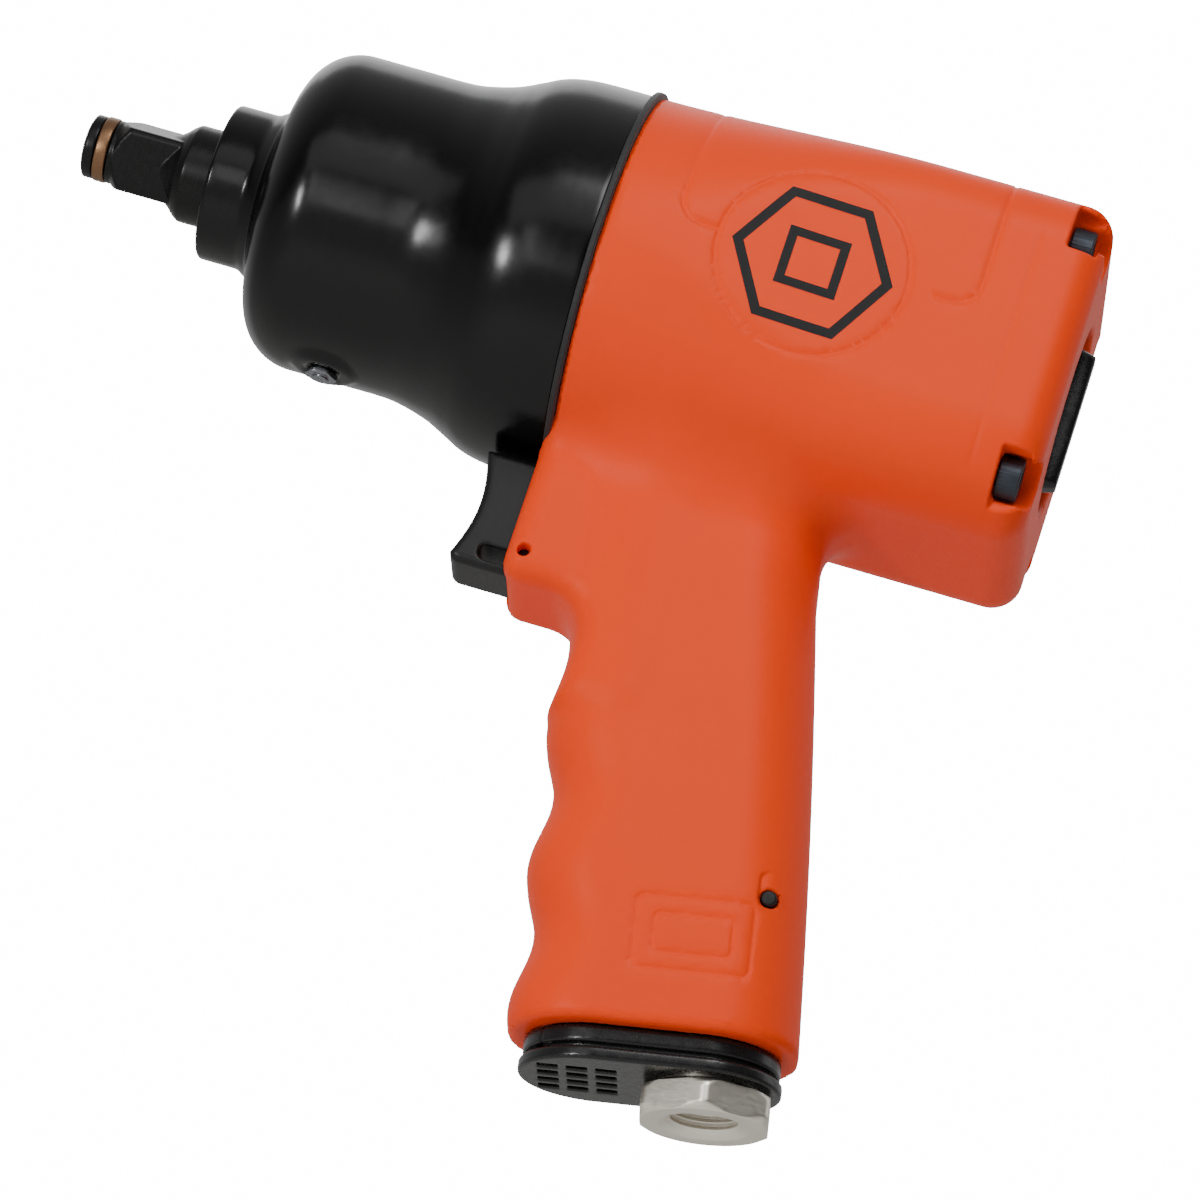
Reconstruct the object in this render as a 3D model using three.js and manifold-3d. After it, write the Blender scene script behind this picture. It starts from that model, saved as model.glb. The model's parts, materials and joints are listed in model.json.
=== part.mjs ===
// Half-inch pistol-grip air impact wrench, in millimetres.
// The origin is the centre of the anvil's front face. +X runs along the motor axis to the rear,
// +Z is up, and the grip hangs down and leans 11 degrees back.

import * as THREE from 'three';
import { mergeVertices } from 'three/addons/utils/BufferGeometryUtils.js';
import Module from 'manifold-3d';

const wasm = await Module();
wasm.setup();

// ---- driving dimensions -------------------------------------------------------------------
const CASE_SIDES = 32;          // facets of the case and the joint behind it
const SIDES = 24;               // facets of the turned pieces inside
const SMALL_SIDES = 16;         // facets of the small turned pieces
const GAP = 0.3;                // clearance between neighbouring pieces

const NOSE = 2;                 // the drawing's X is 0 this far behind the anvil's front face
const SQUARE = 12.7;            // half-inch square drive
const SQUARE_TURN = Math.PI / 6;  // how far the square stands turned about its axis
const SHANK_R = 8.6;            // anvil shank in its bushing
const CORE_R = 8.4;             // anvil core between the jaws
const JAW_REACH = 12.2;         // radius that the anvil jaws reach

const CASE_FRONT = 25.2;         // front of the hammer case's boss
const CASE_END = 103.9;         // rear face of the hammer case
const CASE_R = 39;              // radius of the joint between the case and the body
const CASE_BORE = 28.3;         // inside radius round the hammers
const BOSS_R = 15.6;            // boss round the anvil bushing
const DOME_R = 31.75;           // outside radius round the hammers

const BODY_FRONT = 105.3;
const BODY_END = 197.5;
const BODY_HALF_WIDTH = 34.5;   // at the rear
const BODY_HALF_HEIGHT = 34;    // at the rear
const BODY_TOP_CORNER = 12;
const BODY_LOW_CORNER = 18;
const BODY_EDGE = 7;            // rounding of the rear edges
const MOTOR_BORE = 30;
const MOTOR_END = 178.5;        // bottom of the motor bore

const BOLT_Y = 25.5;
const BOLT_Z = 24.3;
const BOLT_R = 2.3;
const HEAD_R = 4.25;
const HEAD_SEAT = 190;          // under the screw heads
const HEAD_HEIGHT = 4.4;

const ROTOR_R = 18.6;
const CYLINDER_R = 29.6;
const CYLINDER_BORE = 21.6;
const ECCENTRIC = 2.2;          // the liner's bore stands this far above the rotor's axis
const VANES = 6;

const PIN_ORBIT = 21.3;         // distance of the hammer pins from the motor axis
const PIN_R = 3;

const DIAL_R = 18;
const GRIP_LEAN = THREE.MathUtils.degToRad(11);
const GRIP_FOOT = [159, 0, -144.2];   // centre of the grip's lower rim
const GRIP_TOP = 112;           // length of the grip piece above its lower rim
const GRIP_HALF_WIDTH = 18;
const FINGER_PITCH = 27.8;
const FINGER_DEPTH = 1.5;

const INLET_U = 10.9;           // the air inlet, behind the grip's centre line
const INLET_FLATS = 24;
const INLET_FACE = -13.8;
const GRIP_PIN_U = 18.8;
const GRIP_PIN_UP = 27;
const TRIGGER_HALF_WIDTH = 7.2;
const VALVE_Z = -53;            // axis of the throttle valve

// ---- finishes -----------------------------------------------------------------------------
const finish = (color, roughness, metalness) => ({ color, roughness, metalness });
const FINISH = {
  orangeShell: finish(0xe2581f, 0.45, 0),
  blackLacquer: finish(0x17181a, 0.22, 0.1),
  blackPlastic: finish(0x1d1e20, 0.3, 0),
  triggerPlastic: finish(0x2b2c2e, 0.4, 0),
  blackSteel: finish(0x202124, 0.3, 0.8),
  bareSteel: finish(0x9a9da1, 0.35, 1),
  screwSteel: finish(0x50565e, 0.4, 0.9),
  nickel: finish(0xc9c4bb, 0.2, 1),
  brass: finish(0xb08a45, 0.35, 1),
  bronze: finish(0x8a6a44, 0.45, 0.9),
  liner: finish(0x7d8187, 0.4, 1),
  vane: finish(0x6b4a2c, 0.7, 0),
  rubber: finish(0x141414, 0.8, 0),
  foam: finish(0x3c3d3f, 0.95, 0),
};

// ---- solids -------------------------------------------------------------------------------

// A closed geometry as a solid: only its corners are kept, the shared ones merged.
function solid(geometry) {
  const bare = geometry.index ? geometry.toNonIndexed() : geometry.clone();
  for (const name of Object.keys(bare.attributes)) {
    if (name !== 'position') bare.deleteAttribute(name);
  }
  const merged = mergeVertices(bare, 1e-4);
  const corners = [];
  const index = merged.index.array;
  for (let i = 0; i < index.length; i += 3) {
    const [a, b, c] = [index[i], index[i + 1], index[i + 2]];
    if (a !== b && b !== c && c !== a) corners.push(a, b, c);
  }
  return new wasm.Manifold(new wasm.Mesh({
    numProp: 3,
    vertProperties: new Float32Array(merged.getAttribute('position').array),
    triVerts: new Uint32Array(corners),
  }));
}

function geometryOf(body) {
  const mesh = body.getMesh();
  const geometry = new THREE.BufferGeometry();
  geometry.setAttribute('position', new THREE.BufferAttribute(new Float32Array(mesh.vertProperties), 3));
  geometry.setIndex(new THREE.BufferAttribute(new Uint32Array(mesh.triVerts), 1));
  geometry.computeVertexNormals();
  return geometry;
}

const join = (first, ...others) => others.reduce((body, other) => body.add(other), first);
const cut = (first, ...others) => others.reduce((body, other) => body.subtract(other), first);

// The solid of a geometry after a turn about X, Y, Z (radians) and a move.
function placed(geometry, [x, y, z], [turnX, turnY, turnZ] = [0, 0, 0]) {
  const turn = new THREE.Euler(turnX, turnY, turnZ);
  const matrix = new THREE.Matrix4().makeRotationFromEuler(turn).setPosition(x, y, z);
  return solid(geometry.clone().applyMatrix4(matrix));
}

// A profile of [x, r] corners turned about the X axis. It starts and ends on the axis, or it is
// the whole outline of a ring.
function latheX(profile, sides) {
  let area = 0;
  profile.forEach(([x, r], i) => {
    const [nextX, nextR] = profile[(i + 1) % profile.length];
    area += x * nextR - nextX * r;
  });
  const ordered = area > 0 ? [...profile].reverse() : [...profile];
  const isRing = ordered.every(([, r]) => r > 0);
  if (isRing) ordered.push(ordered[0]);
  const lathe = new THREE.LatheGeometry(ordered.map(([x, r]) => new THREE.Vector2(r, x)), sides);
  return lathe.rotateZ(-Math.PI / 2);
}

const turned = (profile, sides = SIDES) => solid(latheX(profile, sides));

// A plain ring or rod from x0 to x1 about the X axis.
function ring(x0, x1, outer, inner, sides = SIDES) {
  return turned([[x0, inner], [x1, inner], [x1, outer], [x0, outer]], sides);
}

function rod(x0, x1, r, sides = SMALL_SIDES) {
  return turned([[x0, 0], [x0, r], [x1, r], [x1, 0]], sides);
}

// The same, about a line along X through (y, z).
function rodAt(x0, x1, r, y, z, sides = SMALL_SIDES) {
  return placed(latheX([[x0, 0], [x0, r], [x1, r], [x1, 0]], sides), [0, y, z]);
}

// An upright rod from z0 to z1 about the Z axis, through (x, y).
function rodZ(z0, z1, r, x = 0, y = 0, sides = SMALL_SIDES) {
  const cylinder = new THREE.CylinderGeometry(r, r, z1 - z0, sides);
  return placed(cylinder, [x, y, (z0 + z1) / 2], [Math.PI / 2, 0, 0]);
}

// A rod along Y through (x, z).
function rodY(y0, y1, r, x, z, sides = SMALL_SIDES) {
  return placed(new THREE.CylinderGeometry(r, r, y1 - y0, sides), [x, (y0 + y1) / 2, z]);
}

function box(x0, x1, y0, y1, z0, z1) {
  const geometry = new THREE.BoxGeometry(x1 - x0, y1 - y0, z1 - z0);
  return placed(geometry, [(x0 + x1) / 2, (y0 + y1) / 2, (z0 + z1) / 2]);
}

function outline(points) {
  return new THREE.Shape(points.map(([a, b]) => new THREE.Vector2(a, b)));
}

// A side view drawn in X and Z, thick from -half to +half across Y, with rounded long edges.
function plateY(shape, half, rounding = 0) {
  const geometry = new THREE.ExtrudeGeometry(shape, {
    depth: 2 * (half - rounding),
    bevelEnabled: rounding > 0,
    bevelSize: rounding,
    bevelOffset: -rounding,
    bevelThickness: rounding,
    bevelSegments: 3,
    curveSegments: 6,
  });
  return placed(geometry, [0, half - rounding, 0], [Math.PI / 2, 0, 0]);
}

// An end view drawn in Y and Z, thick from x0 to x1.
function plateX(shape, x0, x1, curveSegments = 6) {
  const geometry = new THREE.ExtrudeGeometry(shape, { depth: x1 - x0, bevelEnabled: false, curveSegments });
  const toX = new THREE.Matrix4().set(0, 0, 1, x0, 1, 0, 0, 0, 0, 1, 0, 0, 0, 0, 0, 1);
  return solid(geometry.applyMatrix4(toX));
}

// A plan drawn in X and Y, thick from z0 to z1.
function plateZ(shape, z0, z1, curveSegments = 6) {
  const geometry = new THREE.ExtrudeGeometry(shape, { depth: z1 - z0, bevelEnabled: false, curveSegments });
  return placed(geometry, [0, 0, z0]);
}

// A plan with straight sides and round ends, thick from z0 to z1.
function ovalPlate(halfDepth, halfWidth, z0, z1) {
  const shape = new THREE.Shape();
  const straight = halfDepth - halfWidth;
  shape.absarc(straight, 0, halfWidth, -0.5 * Math.PI, 0.5 * Math.PI, false);
  shape.absarc(-straight, 0, halfWidth, 0.5 * Math.PI, 1.5 * Math.PI, false);
  shape.closePath();
  return plateZ(shape, z0, z1, 10);
}

// Distance from the centre to the edge of a rounded rectangle, in the direction of an angle.
function roundedRadius(angle, halfA, halfB, corner) {
  const c = Math.abs(Math.cos(angle));
  const s = Math.abs(Math.sin(angle));
  const [cornerA, cornerB] = [halfA - corner, halfB - corner];
  if (s * halfA <= c * cornerB) return halfA / c;
  if (c * halfB <= s * cornerA) return halfB / s;
  const along = c * cornerA + s * cornerB;
  return along + Math.sqrt(along ** 2 - cornerA ** 2 - cornerB ** 2 + corner ** 2);
}

// A skin of rings between two flat ends. section(t, angle) gives a corner of the ring at t,
// from 0 to 1, and the centre of that ring when angle is null.
function loft(section, rings, sides) {
  const geometry = new THREE.CylinderGeometry(1, 1, 1, sides, rings);
  const position = geometry.getAttribute('position');
  for (let i = 0; i < position.count; i += 1) {
    const [x, y, z] = [position.getX(i), position.getY(i), position.getZ(i)];
    const angle = Math.hypot(x, z) < 1e-6 ? null : Math.atan2(z, x);
    const corner = section(y + 0.5, angle);
    position.setXYZ(i, corner.x, corner.y, corner.z);
  }
  return geometry;
}

// ---- the assembly -------------------------------------------------------------------------
const wrench = new THREE.Group();
wrench.position.x = NOSE;
const motorLine = new THREE.Group();
const grip = new THREE.Group();
grip.position.set(...GRIP_FOOT);
grip.rotation.y = -GRIP_LEAN;
wrench.add(motorLine, grip);

// Puts a solid into a group as a named mesh, standing at a place and turned about X.
function addPart(group, name, body, look, place = [0, 0, 0], turnX = 0) {
  const mesh = new THREE.Mesh(geometryOf(body), new THREE.MeshStandardMaterial(look));
  mesh.name = name;
  mesh.position.set(...place);
  mesh.rotation.x = turnX;
  group.add(mesh);
}

// ---- anvil and its front --------------------------------------------------------------------
function squareShape(half, corner) {
  const shape = new THREE.Shape();
  const inner = half - corner;
  const quarter = Math.PI / 2;
  for (let i = 0; i < 4; i += 1) {
    const middle = quarter * i;
    const [c, s] = [Math.cos(middle), Math.sin(middle)];
    shape.absarc(inner * (c - s), inner * (s + c), corner, middle, middle + quarter, false);
  }
  shape.closePath();
  return shape;
}

const SQUARE_START = 4.4;
const SQUARE_END = 15;

function makeAnvil() {
  const square = plateX(squareShape(SQUARE / 2, 1.3), SQUARE_START, SQUARE_END, 3);
  const nose = turned([[-NOSE, 0], [-NOSE, 5.1], [-NOSE + 0.5, 6], [-NOSE + 1.4, 6.3], [0.5, 6.3],
    [0.5, 4.9], [3.3, 4.9], [3.3, 6.3], [SQUARE_START + 0.3, 6.3], [SQUARE_START + 0.3, 0]]);
  const neck = turned([[SQUARE_END - 0.4, 0], [SQUARE_END - 0.4, 6.7], [16.6, 7.5], [18.2, 8.7],
    [19.6, 9.8], [CASE_FRONT + 0.6, 9.8], [CASE_FRONT + 0.6, SHANK_R], [46, SHANK_R], [46, CORE_R],
    [86.6, CORE_R], [86.6, 5.8], [91, 5.8], [91, 0]]);
  const jaw = (x0, x1, side) => box(x0, x1, Math.min(0, side * JAW_REACH), Math.max(0, side * JAW_REACH),
    -3.6, 3.6);
  return join(nose, square, neck, jaw(51, 66, 1), jaw(69, 84, -1));
}

function makeFrictionRing() {
  const whole = ring(0.7, 3.1, 6.5, 5.6);
  const split = box(0, 4, -0.5, 0.5, 4, 8);
  return cut(whole, split);
}

addPart(motorLine, 'anvil', makeAnvil(), FINISH.blackSteel, [0, 0, 0], SQUARE_TURN);
addPart(motorLine, 'friction_ring', makeFrictionRing(), FINISH.bronze);
addPart(motorLine, 'retainer_o_ring', ring(1, 2.8, 5.4, 5.05), FINISH.rubber);
addPart(motorLine, 'anvil_bushing', ring(27.2, 44, 12, SHANK_R + 0.25), FINISH.bronze);

// ---- hammer case ----------------------------------------------------------------------------
const FLARE = [[72, 32.3], [76, 33.3], [80, 34.5], [84.5, 37.1], [87, 38], [91, 38.7], [95, CASE_R]];

function makeHammerCase() {
  const dome = [0, 22.5, 45, 67.5, 90].map((degrees) => {
    const angle = THREE.MathUtils.degToRad(degrees);
    return [48.5 - 11 * Math.cos(angle), DOME_R - 11 + 11 * Math.sin(angle)];
  });
  const outside = [[CASE_FRONT, 9.8 + 1], [CASE_FRONT, BOSS_R - 1.6], [CASE_FRONT + 0.6, BOSS_R - 0.5],
    [CASE_FRONT + 2, BOSS_R], [33.2, BOSS_R], [35.2, 17], ...dome, [68, DOME_R], ...FLARE, [CASE_END, CASE_R]];
  const inside = [[CASE_END, 31.4], [92, 31.4], [85, CASE_BORE], [47, CASE_BORE], [44.8, CASE_BORE - 1.2], [44.8, 12.3],
    [26.8, 12.3], [26.8, 10.8]];
  const screwHoles = [-1, 1].flatMap((y) => [-1, 1].map(
    (z) => rodAt(93, CASE_END + 1, BOLT_R + 0.3, y * BOLT_Y, z * BOLT_Z, 12)));
  const greaseBoss = rodZ(-DOME_R - 0.8, -DOME_R + 2, 5.6, 57);
  const greaseHole = rodZ(-DOME_R - 2, -DOME_R + 6, 2.8, 57, 0, 16);
  return cut(join(turned([...outside, ...inside], CASE_SIDES), greaseBoss), greaseHole, ...screwHoles);
}

function makeGreaseFitting() {
  const thread = rodZ(-2.95, 1, 2.5, 0, 0, 16);
  const collar = rodZ(-3.75, -2.9, 3.2, 0, 0, 6);
  const tip = rodZ(-4.3, -3.7, 1.7, 0, 0, 12);
  return join(thread, collar, tip);
}

addPart(motorLine, 'hammer_case', makeHammerCase(), FINISH.blackLacquer);
addPart(motorLine, 'grease_fitting', makeGreaseFitting(), FINISH.bareSteel, [57, 0, -DOME_R + 2]);

function makeCaseGasket() {
  const tab = box(0, 1.1, -3, 3, CASE_R - 2, CASE_R + 2.2);
  const holes = [-1, 1].flatMap((y) => [-1, 1].map(
    (z) => rodAt(-1, 3, BOLT_R + 0.3, y * BOLT_Y, z * BOLT_Z, 12)));
  return cut(join(ring(0, 1.2, CASE_R + 1.1, 31.4, CASE_SIDES), tab), ...holes);
}

addPart(motorLine, 'case_gasket', makeCaseGasket(), FINISH.rubber, [CASE_END + 0.05, 0, 0]);

// ---- hammers --------------------------------------------------------------------------------
const CAGE_R = 26.8;

// The cage is two plates joined by an arched web above and one below, with a splined hub behind.
function makeHammerCage() {
  const plates = join(ring(45.6, 49.4, CAGE_R, 10.4), ring(87, 91.4, CAGE_R, 6.2));
  const hub = turned([[91, 6.2], [91, 11.5], [103, 11.5], [103, 6.9], [95, 6.9], [95, 6.2]]);
  const wedge = outline([[0, 0], [14.5, 32], [-14.5, 32]]);
  const arch = ring(49, 87.4, CAGE_R, 24.4);
  const upper = arch.intersect(plateX(wedge, 48, 89));
  const lower = arch.intersect(placed(
    new THREE.ExtrudeGeometry(wedge, { depth: 41, bevelEnabled: false }), [48, 0, 0],
    [Math.PI / 2, Math.PI / 2, 0],
  ));
  const pinHoles = [-1, 1].map((side) => rodAt(46.5, 90.5, PIN_R + 0.15, 0, side * PIN_ORBIT));
  return cut(join(plates, hub, upper, lower), ...pinHoles);
}

// A hammer is a ring with one dog inside. It rocks on the pin at pinSide and has a wide notch
// for the other pin.
function makeHammer(x0, x1, pinSide) {
  const body = ring(x0, x1, 22.8, 14.8);
  const dogBlock = box(x0, x1, pinSide * 6 - 5, pinSide * 6 + 5, -pinSide * 13 - 3, -pinSide * 13 + 3);
  const dog = cut(dogBlock, rodAt(x0 - 1, x1 + 1, 11.2, 0, 0, SIDES))
    .intersect(rodAt(x0, x1, 15.5, 0, 0, SIDES));
  const pinNotch = rodAt(x0 - 1, x1 + 1, PIN_R + 0.35, 0, pinSide * PIN_ORBIT);
  const freeNotch = box(x0 - 1, x1 + 1, -7.2, 7.2, -pinSide * 21 - 4, -pinSide * 21 + 4);
  return cut(join(body, dog), pinNotch, freeNotch);
}

addPart(motorLine, 'hammer_cage', makeHammerCage(), FINISH.bareSteel);
addPart(motorLine, 'hammer_front', makeHammer(50.2, 67, 1), FINISH.bareSteel);
addPart(motorLine, 'hammer_rear', makeHammer(68, 86.2, -1), FINISH.bareSteel);
[1, -1].forEach((side, i) => {
  const place = [46.9, 0, side * PIN_ORBIT];
  addPart(motorLine, `hammer_pin_${i + 1}`, rod(0, 43.2, PIN_R), FINISH.bareSteel, place);
});

// ---- air motor ------------------------------------------------------------------------------
const PLATE_FRONT = 106.6;
const LINER_FRONT = 115;
const LINER_END = 165;
const REAR_PLATE_END = 172.4;

function makeFrontPlate() {
  return turned([[0, 16.3], [0, CYLINDER_R], [LINER_FRONT - PLATE_FRONT - 0.1, CYLINDER_R],
    [LINER_FRONT - PLATE_FRONT - 0.1, 7.4], [5.6, 7.4], [5.6, 13.6], [1.2, 13.6], [1.2, 16.3]]);
}

function makeRearPlate() {
  const length = REAR_PLATE_END - LINER_END - 0.1;
  const plate = turned([[0, 6.4], [0, CYLINDER_R], [length, CYLINDER_R], [length, 12.2], [1.9, 12.2], [1.9, 6.4]]);
  const ports = [-1, 1].map((side) => rodAt(-1, length + 1, 2.6, side * 17.5, 14.5, 12));
  return cut(plate, ...ports);
}

function makeCylinder() {
  const barrel = rod(0, LINER_END - LINER_FRONT, CYLINDER_R, SIDES);
  const bore = rodAt(-1, 60, CYLINDER_BORE, 0, ECCENTRIC, SIDES);
  const exhausts = [13, 25, 37].map((x) => rodZ(-33, -12, 3, x, 0, 12));
  const airWays = [-1, 1].map((side) => rodAt(-1, 60, 2.6, side * 17.5, 14.5 + 4.5, 12));
  return cut(barrel, bore, ...exhausts, ...airWays);
}

// The rotor has six vane slots, a splined nose for the hammer cage and a bearing journal behind.
function makeRotor() {
  const start = LINER_FRONT + 0.4;
  const end = LINER_END - 0.4;
  const core = rod(start, end, ROTOR_R, SIDES);
  const shaft = turned([[96, 0], [96, 6.2], [105, 6.2], [105, 6.8], [start + 0.5, 6.8], [start + 0.5, 0]]);
  const journal = rod(end - 0.5, REAR_PLATE_END + 0.4, 5.8);
  const slots = [...Array(VANES).keys()].map((i) => {
    const slot = new THREE.BoxGeometry(end - start + 2, 2.3, 9);
    const angle = (i * 2 * Math.PI) / VANES;
    const centre = [(start + end) / 2, -Math.sin(angle) * 15, Math.cos(angle) * 15];
    return placed(slot, centre, [angle, 0, 0]);
  });
  return join(cut(core, ...slots), shaft, journal);
}

// A sealed bearing, its races, balls and shields in one ring.
function makeBearing(width, outer, inner) {
  const step = (outer - inner) * 0.25;
  return turned([[0, inner], [0, inner + step], [0.4, inner + step], [0.4, outer - step], [0, outer - step],
    [0, outer], [width, outer], [width, inner]]);
}

addPart(motorLine, 'front_end_plate', makeFrontPlate(), FINISH.bareSteel, [PLATE_FRONT, 0, 0]);
addPart(motorLine, 'front_bearing', makeBearing(4.2, 13.4, 7.0), FINISH.bareSteel, [PLATE_FRONT + 1.3, 0, 0]);
addPart(motorLine, 'cylinder', makeCylinder(), FINISH.liner, [LINER_FRONT, 0, 0]);
addPart(motorLine, 'rotor', makeRotor(), FINISH.bareSteel);
for (let i = 0; i < VANES; i += 1) {
  const vane = box(0, LINER_END - LINER_FRONT - 1.2, -0.9, 0.9, 11.2, 18.7);
  const place = [LINER_FRONT + 0.6, 0, 0];
  addPart(motorLine, `rotor_vane_${i + 1}`, vane, FINISH.vane, place, (i * 2 * Math.PI) / VANES);
}
addPart(motorLine, 'rear_end_plate', makeRearPlate(), FINISH.bareSteel, [LINER_END + 0.1, 0, 0]);
addPart(motorLine, 'rear_bearing', makeBearing(4.6, 12, 6), FINISH.bareSteel, [LINER_END + 2.2, 0, 0]);

function makeRearGasket() {
  const ports = [-1, 1].map((side) => rodAt(-1, 3, 2.6, side * 17.5, 14.5, 12));
  return cut(ring(0, 1, CYLINDER_R, 12.2), ...ports);
}

addPart(motorLine, 'rear_gasket', makeRearGasket(), FINISH.rubber, [REAR_PLATE_END + 0.1, 0, 0]);

// ---- direction and power dial ---------------------------------------------------------------
const DIAL_SEAT = 192.4;

// The dial's disc lies in the rear recess, with a finger bar across it. Its spindle goes through
// the rear wall to the reverse valve.
function makeDial() {
  const disc = turned([[0, 0], [0, DIAL_R - 0.5], [0.6, DIAL_R - 0.3], [2.6, DIAL_R - 0.3],
    [3.4, DIAL_R - 1.2], [3.4, 0]]);
  const bar = box(3, 7, -3.2, 3.2, -DIAL_R + 2.5, DIAL_R - 2.5);
  const trimmed = bar.intersect(rod(2, 8, DIAL_R - 2.4, SIDES));
  const spindle = rod(-13.6, 0.5, 4.7);
  const arrow = plateX(outline([[-4.6, 10], [4.6, 10], [0, 14]]), 3, 4.1);
  return join(disc, trimmed, spindle, arrow);
}

// A ported disc on a square of the spindle, against the rear gasket.
function makeReverseValve() {
  const disc = ring(0, 4, 26, 5);
  const ports = [0.35, 0.95].map((turn) => {
    const angle = Math.PI * turn;
    return rodAt(-1, 5, 3.2, 19 * Math.cos(angle), 19 * Math.sin(angle), 12);
  });
  return cut(disc, ...ports);
}

addPart(motorLine, 'direction_power_dial', makeDial(), FINISH.blackPlastic, [DIAL_SEAT, 0, 0]);
addPart(motorLine, 'reverse_valve', makeReverseValve(), FINISH.blackPlastic, [174, 0, 0]);

// ---- housing screws -------------------------------------------------------------------------
function makeScrew() {
  const start = 95;
  const shank = rod(start, HEAD_SEAT + 0.2, BOLT_R, 12);
  const headEnd = HEAD_SEAT + HEAD_HEIGHT;
  const head = turned([[HEAD_SEAT + 0.1, 0], [HEAD_SEAT + 0.1, HEAD_R], [headEnd - 0.4, HEAD_R],
    [headEnd, HEAD_R - 0.4], [headEnd, 0]], SMALL_SIDES);
  const socket = placed(latheX([[headEnd - 2.4, 0], [headEnd - 2.4, 2.2], [headEnd + 1, 2.2],
    [headEnd + 1, 0]], 6), [0, 0, 0]);
  return cut(join(shank, head), socket);
}

[[-1, 1], [1, 1], [-1, -1], [1, -1]].forEach(([y, z], i) => {
  addPart(motorLine, `housing_screw_${i + 1}`, makeScrew(), FINISH.screwSteel, [0, y * BOLT_Y, z * BOLT_Z]);
});

// ---- body and grip --------------------------------------------------------------------------
const gripMatrix = new THREE.Matrix4().makeRotationY(-GRIP_LEAN).setPosition(...GRIP_FOOT);
const smoothStep = (t) => t * t * (3 - 2 * t);

// The barrel's section goes from the round joint to a rounded square, and its rear edge is rounded.
function barrelSection(t, angle) {
  const length = BODY_END - BODY_FRONT;
  const stations = [0, 0.12, 0.26, 0.42, 0.62, 0.8, 1 - BODY_EDGE / length];
  const steps = 10;
  const station = Math.round(t * steps);
  const edge = Math.max(0, station - (stations.length - 1)) / (steps - stations.length + 1);
  const along = station < stations.length ? stations[station] * length
    : length - BODY_EDGE + BODY_EDGE * Math.sin((edge * Math.PI) / 2);
  const shrink = BODY_EDGE * (1 - Math.cos((edge * Math.PI) / 2)) * 0.75;
  const place = new THREE.Vector3(BODY_FRONT + along, 0, 0);
  if (angle === null) return place;
  const blend = smoothStep(Math.min(1, along / (0.62 * length)));
  const upper = Math.sin(angle) > 0;
  const corner = THREE.MathUtils.lerp(CASE_R, upper ? BODY_TOP_CORNER : BODY_LOW_CORNER, blend) - shrink;
  const halfWidth = THREE.MathUtils.lerp(CASE_R, BODY_HALF_WIDTH, blend) - shrink;
  const halfHeight = THREE.MathUtils.lerp(CASE_R, BODY_HALF_HEIGHT, blend) - shrink;
  const r = roundedRadius(angle, halfWidth, halfHeight, corner);
  place.y = r * Math.cos(angle);
  place.z = r * Math.sin(angle);
  return place;
}

// Height above the lower rim, front and back of the grip there, in the grip's own frame.
const gripFront = (up) => -26.4 + 0.0174 * up
  - FINGER_DEPTH * Math.cos((2 * Math.PI * (up - 4)) / FINGER_PITCH);
const gripBack = (up) => 27.3 - 0.065 * up + 0.6 * Math.sin((Math.PI * up) / 90);

function gripSection(t, angle) {
  const up = t * GRIP_TOP;
  const front = up > 76 ? gripFront(76) : gripFront(up);
  const back = gripBack(Math.min(up, 90));
  const halfDepth = (back - front) / 2;
  const halfWidth = GRIP_HALF_WIDTH - 0.9 * Math.min(1, up / 60);
  const place = new THREE.Vector3((front + back) / 2, 0, up);
  if (angle === null) return place;
  const r = roundedRadius(angle, halfDepth, halfWidth, halfWidth - 2.5);
  place.x += r * Math.cos(angle);
  place.y -= r * Math.sin(angle);
  return place;
}

const TRIGGER_BOX_FRONT = 104;
const TRIGGER_FOOT = -64.2;
const PIN_X = 107.5;
const PIN_Z = -61;

// The box round the trigger, its corner and the web down to the first finger.
function makeTriggerBox() {
  const shape = new THREE.Shape();
  shape.moveTo(TRIGGER_BOX_FRONT + 1.4, -30);
  shape.lineTo(TRIGGER_BOX_FRONT, -40);
  shape.absarc(TRIGGER_BOX_FRONT + 3.6, -63, 3.6, Math.PI, 1.5 * Math.PI, false);
  shape.lineTo(113, -66.2);
  shape.absarc(113.5, -75.2, 9, 0.5 * Math.PI, 0, true);
  shape.lineTo(134, -82);
  shape.lineTo(140, -30);
  shape.closePath();
  return cut(plateY(shape, 15, 3), rod(90, BODY_FRONT, CASE_R + 1.6, CASE_SIDES));
}

// The saddle that fills the corner between the grip's back and the barrel.
function makeSaddle() {
  const shape = new THREE.Shape();
  shape.moveTo(140, -30);
  shape.lineTo(184, -30);
  shape.lineTo(182, -35.5);
  shape.absarc(175.5, -47.5, 12, 0.5 * Math.PI, 1.06 * Math.PI, false);
  shape.lineTo(150, -54);
  shape.closePath();
  return plateY(shape, 15, 3);
}

// Pocket at each rear corner, open to the side, with a hole behind for the key.
function screwPocket(y, z) {
  const shaft = rodAt(BODY_FRONT - 1, HEAD_SEAT + 1, BOLT_R + 0.4, y * BOLT_Y, z * BOLT_Z, 12);
  const counterbore = rodAt(HEAD_SEAT, BODY_END + 2, HEAD_R + 0.6, y * BOLT_Y, z * BOLT_Z);
  const [near, far] = [y * BOLT_Y, y * (BODY_HALF_WIDTH + 6)];
  const window = box(HEAD_SEAT, 195.6, Math.min(near, far), Math.max(near, far),
    z * BOLT_Z + (z > 0 ? -3.4 : -6), z * BOLT_Z + (z > 0 ? 6 : 3.4));
  return [shaft, counterbore, window];
}

const RECESS = { x: 191.8, r: 18.6 };

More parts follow.
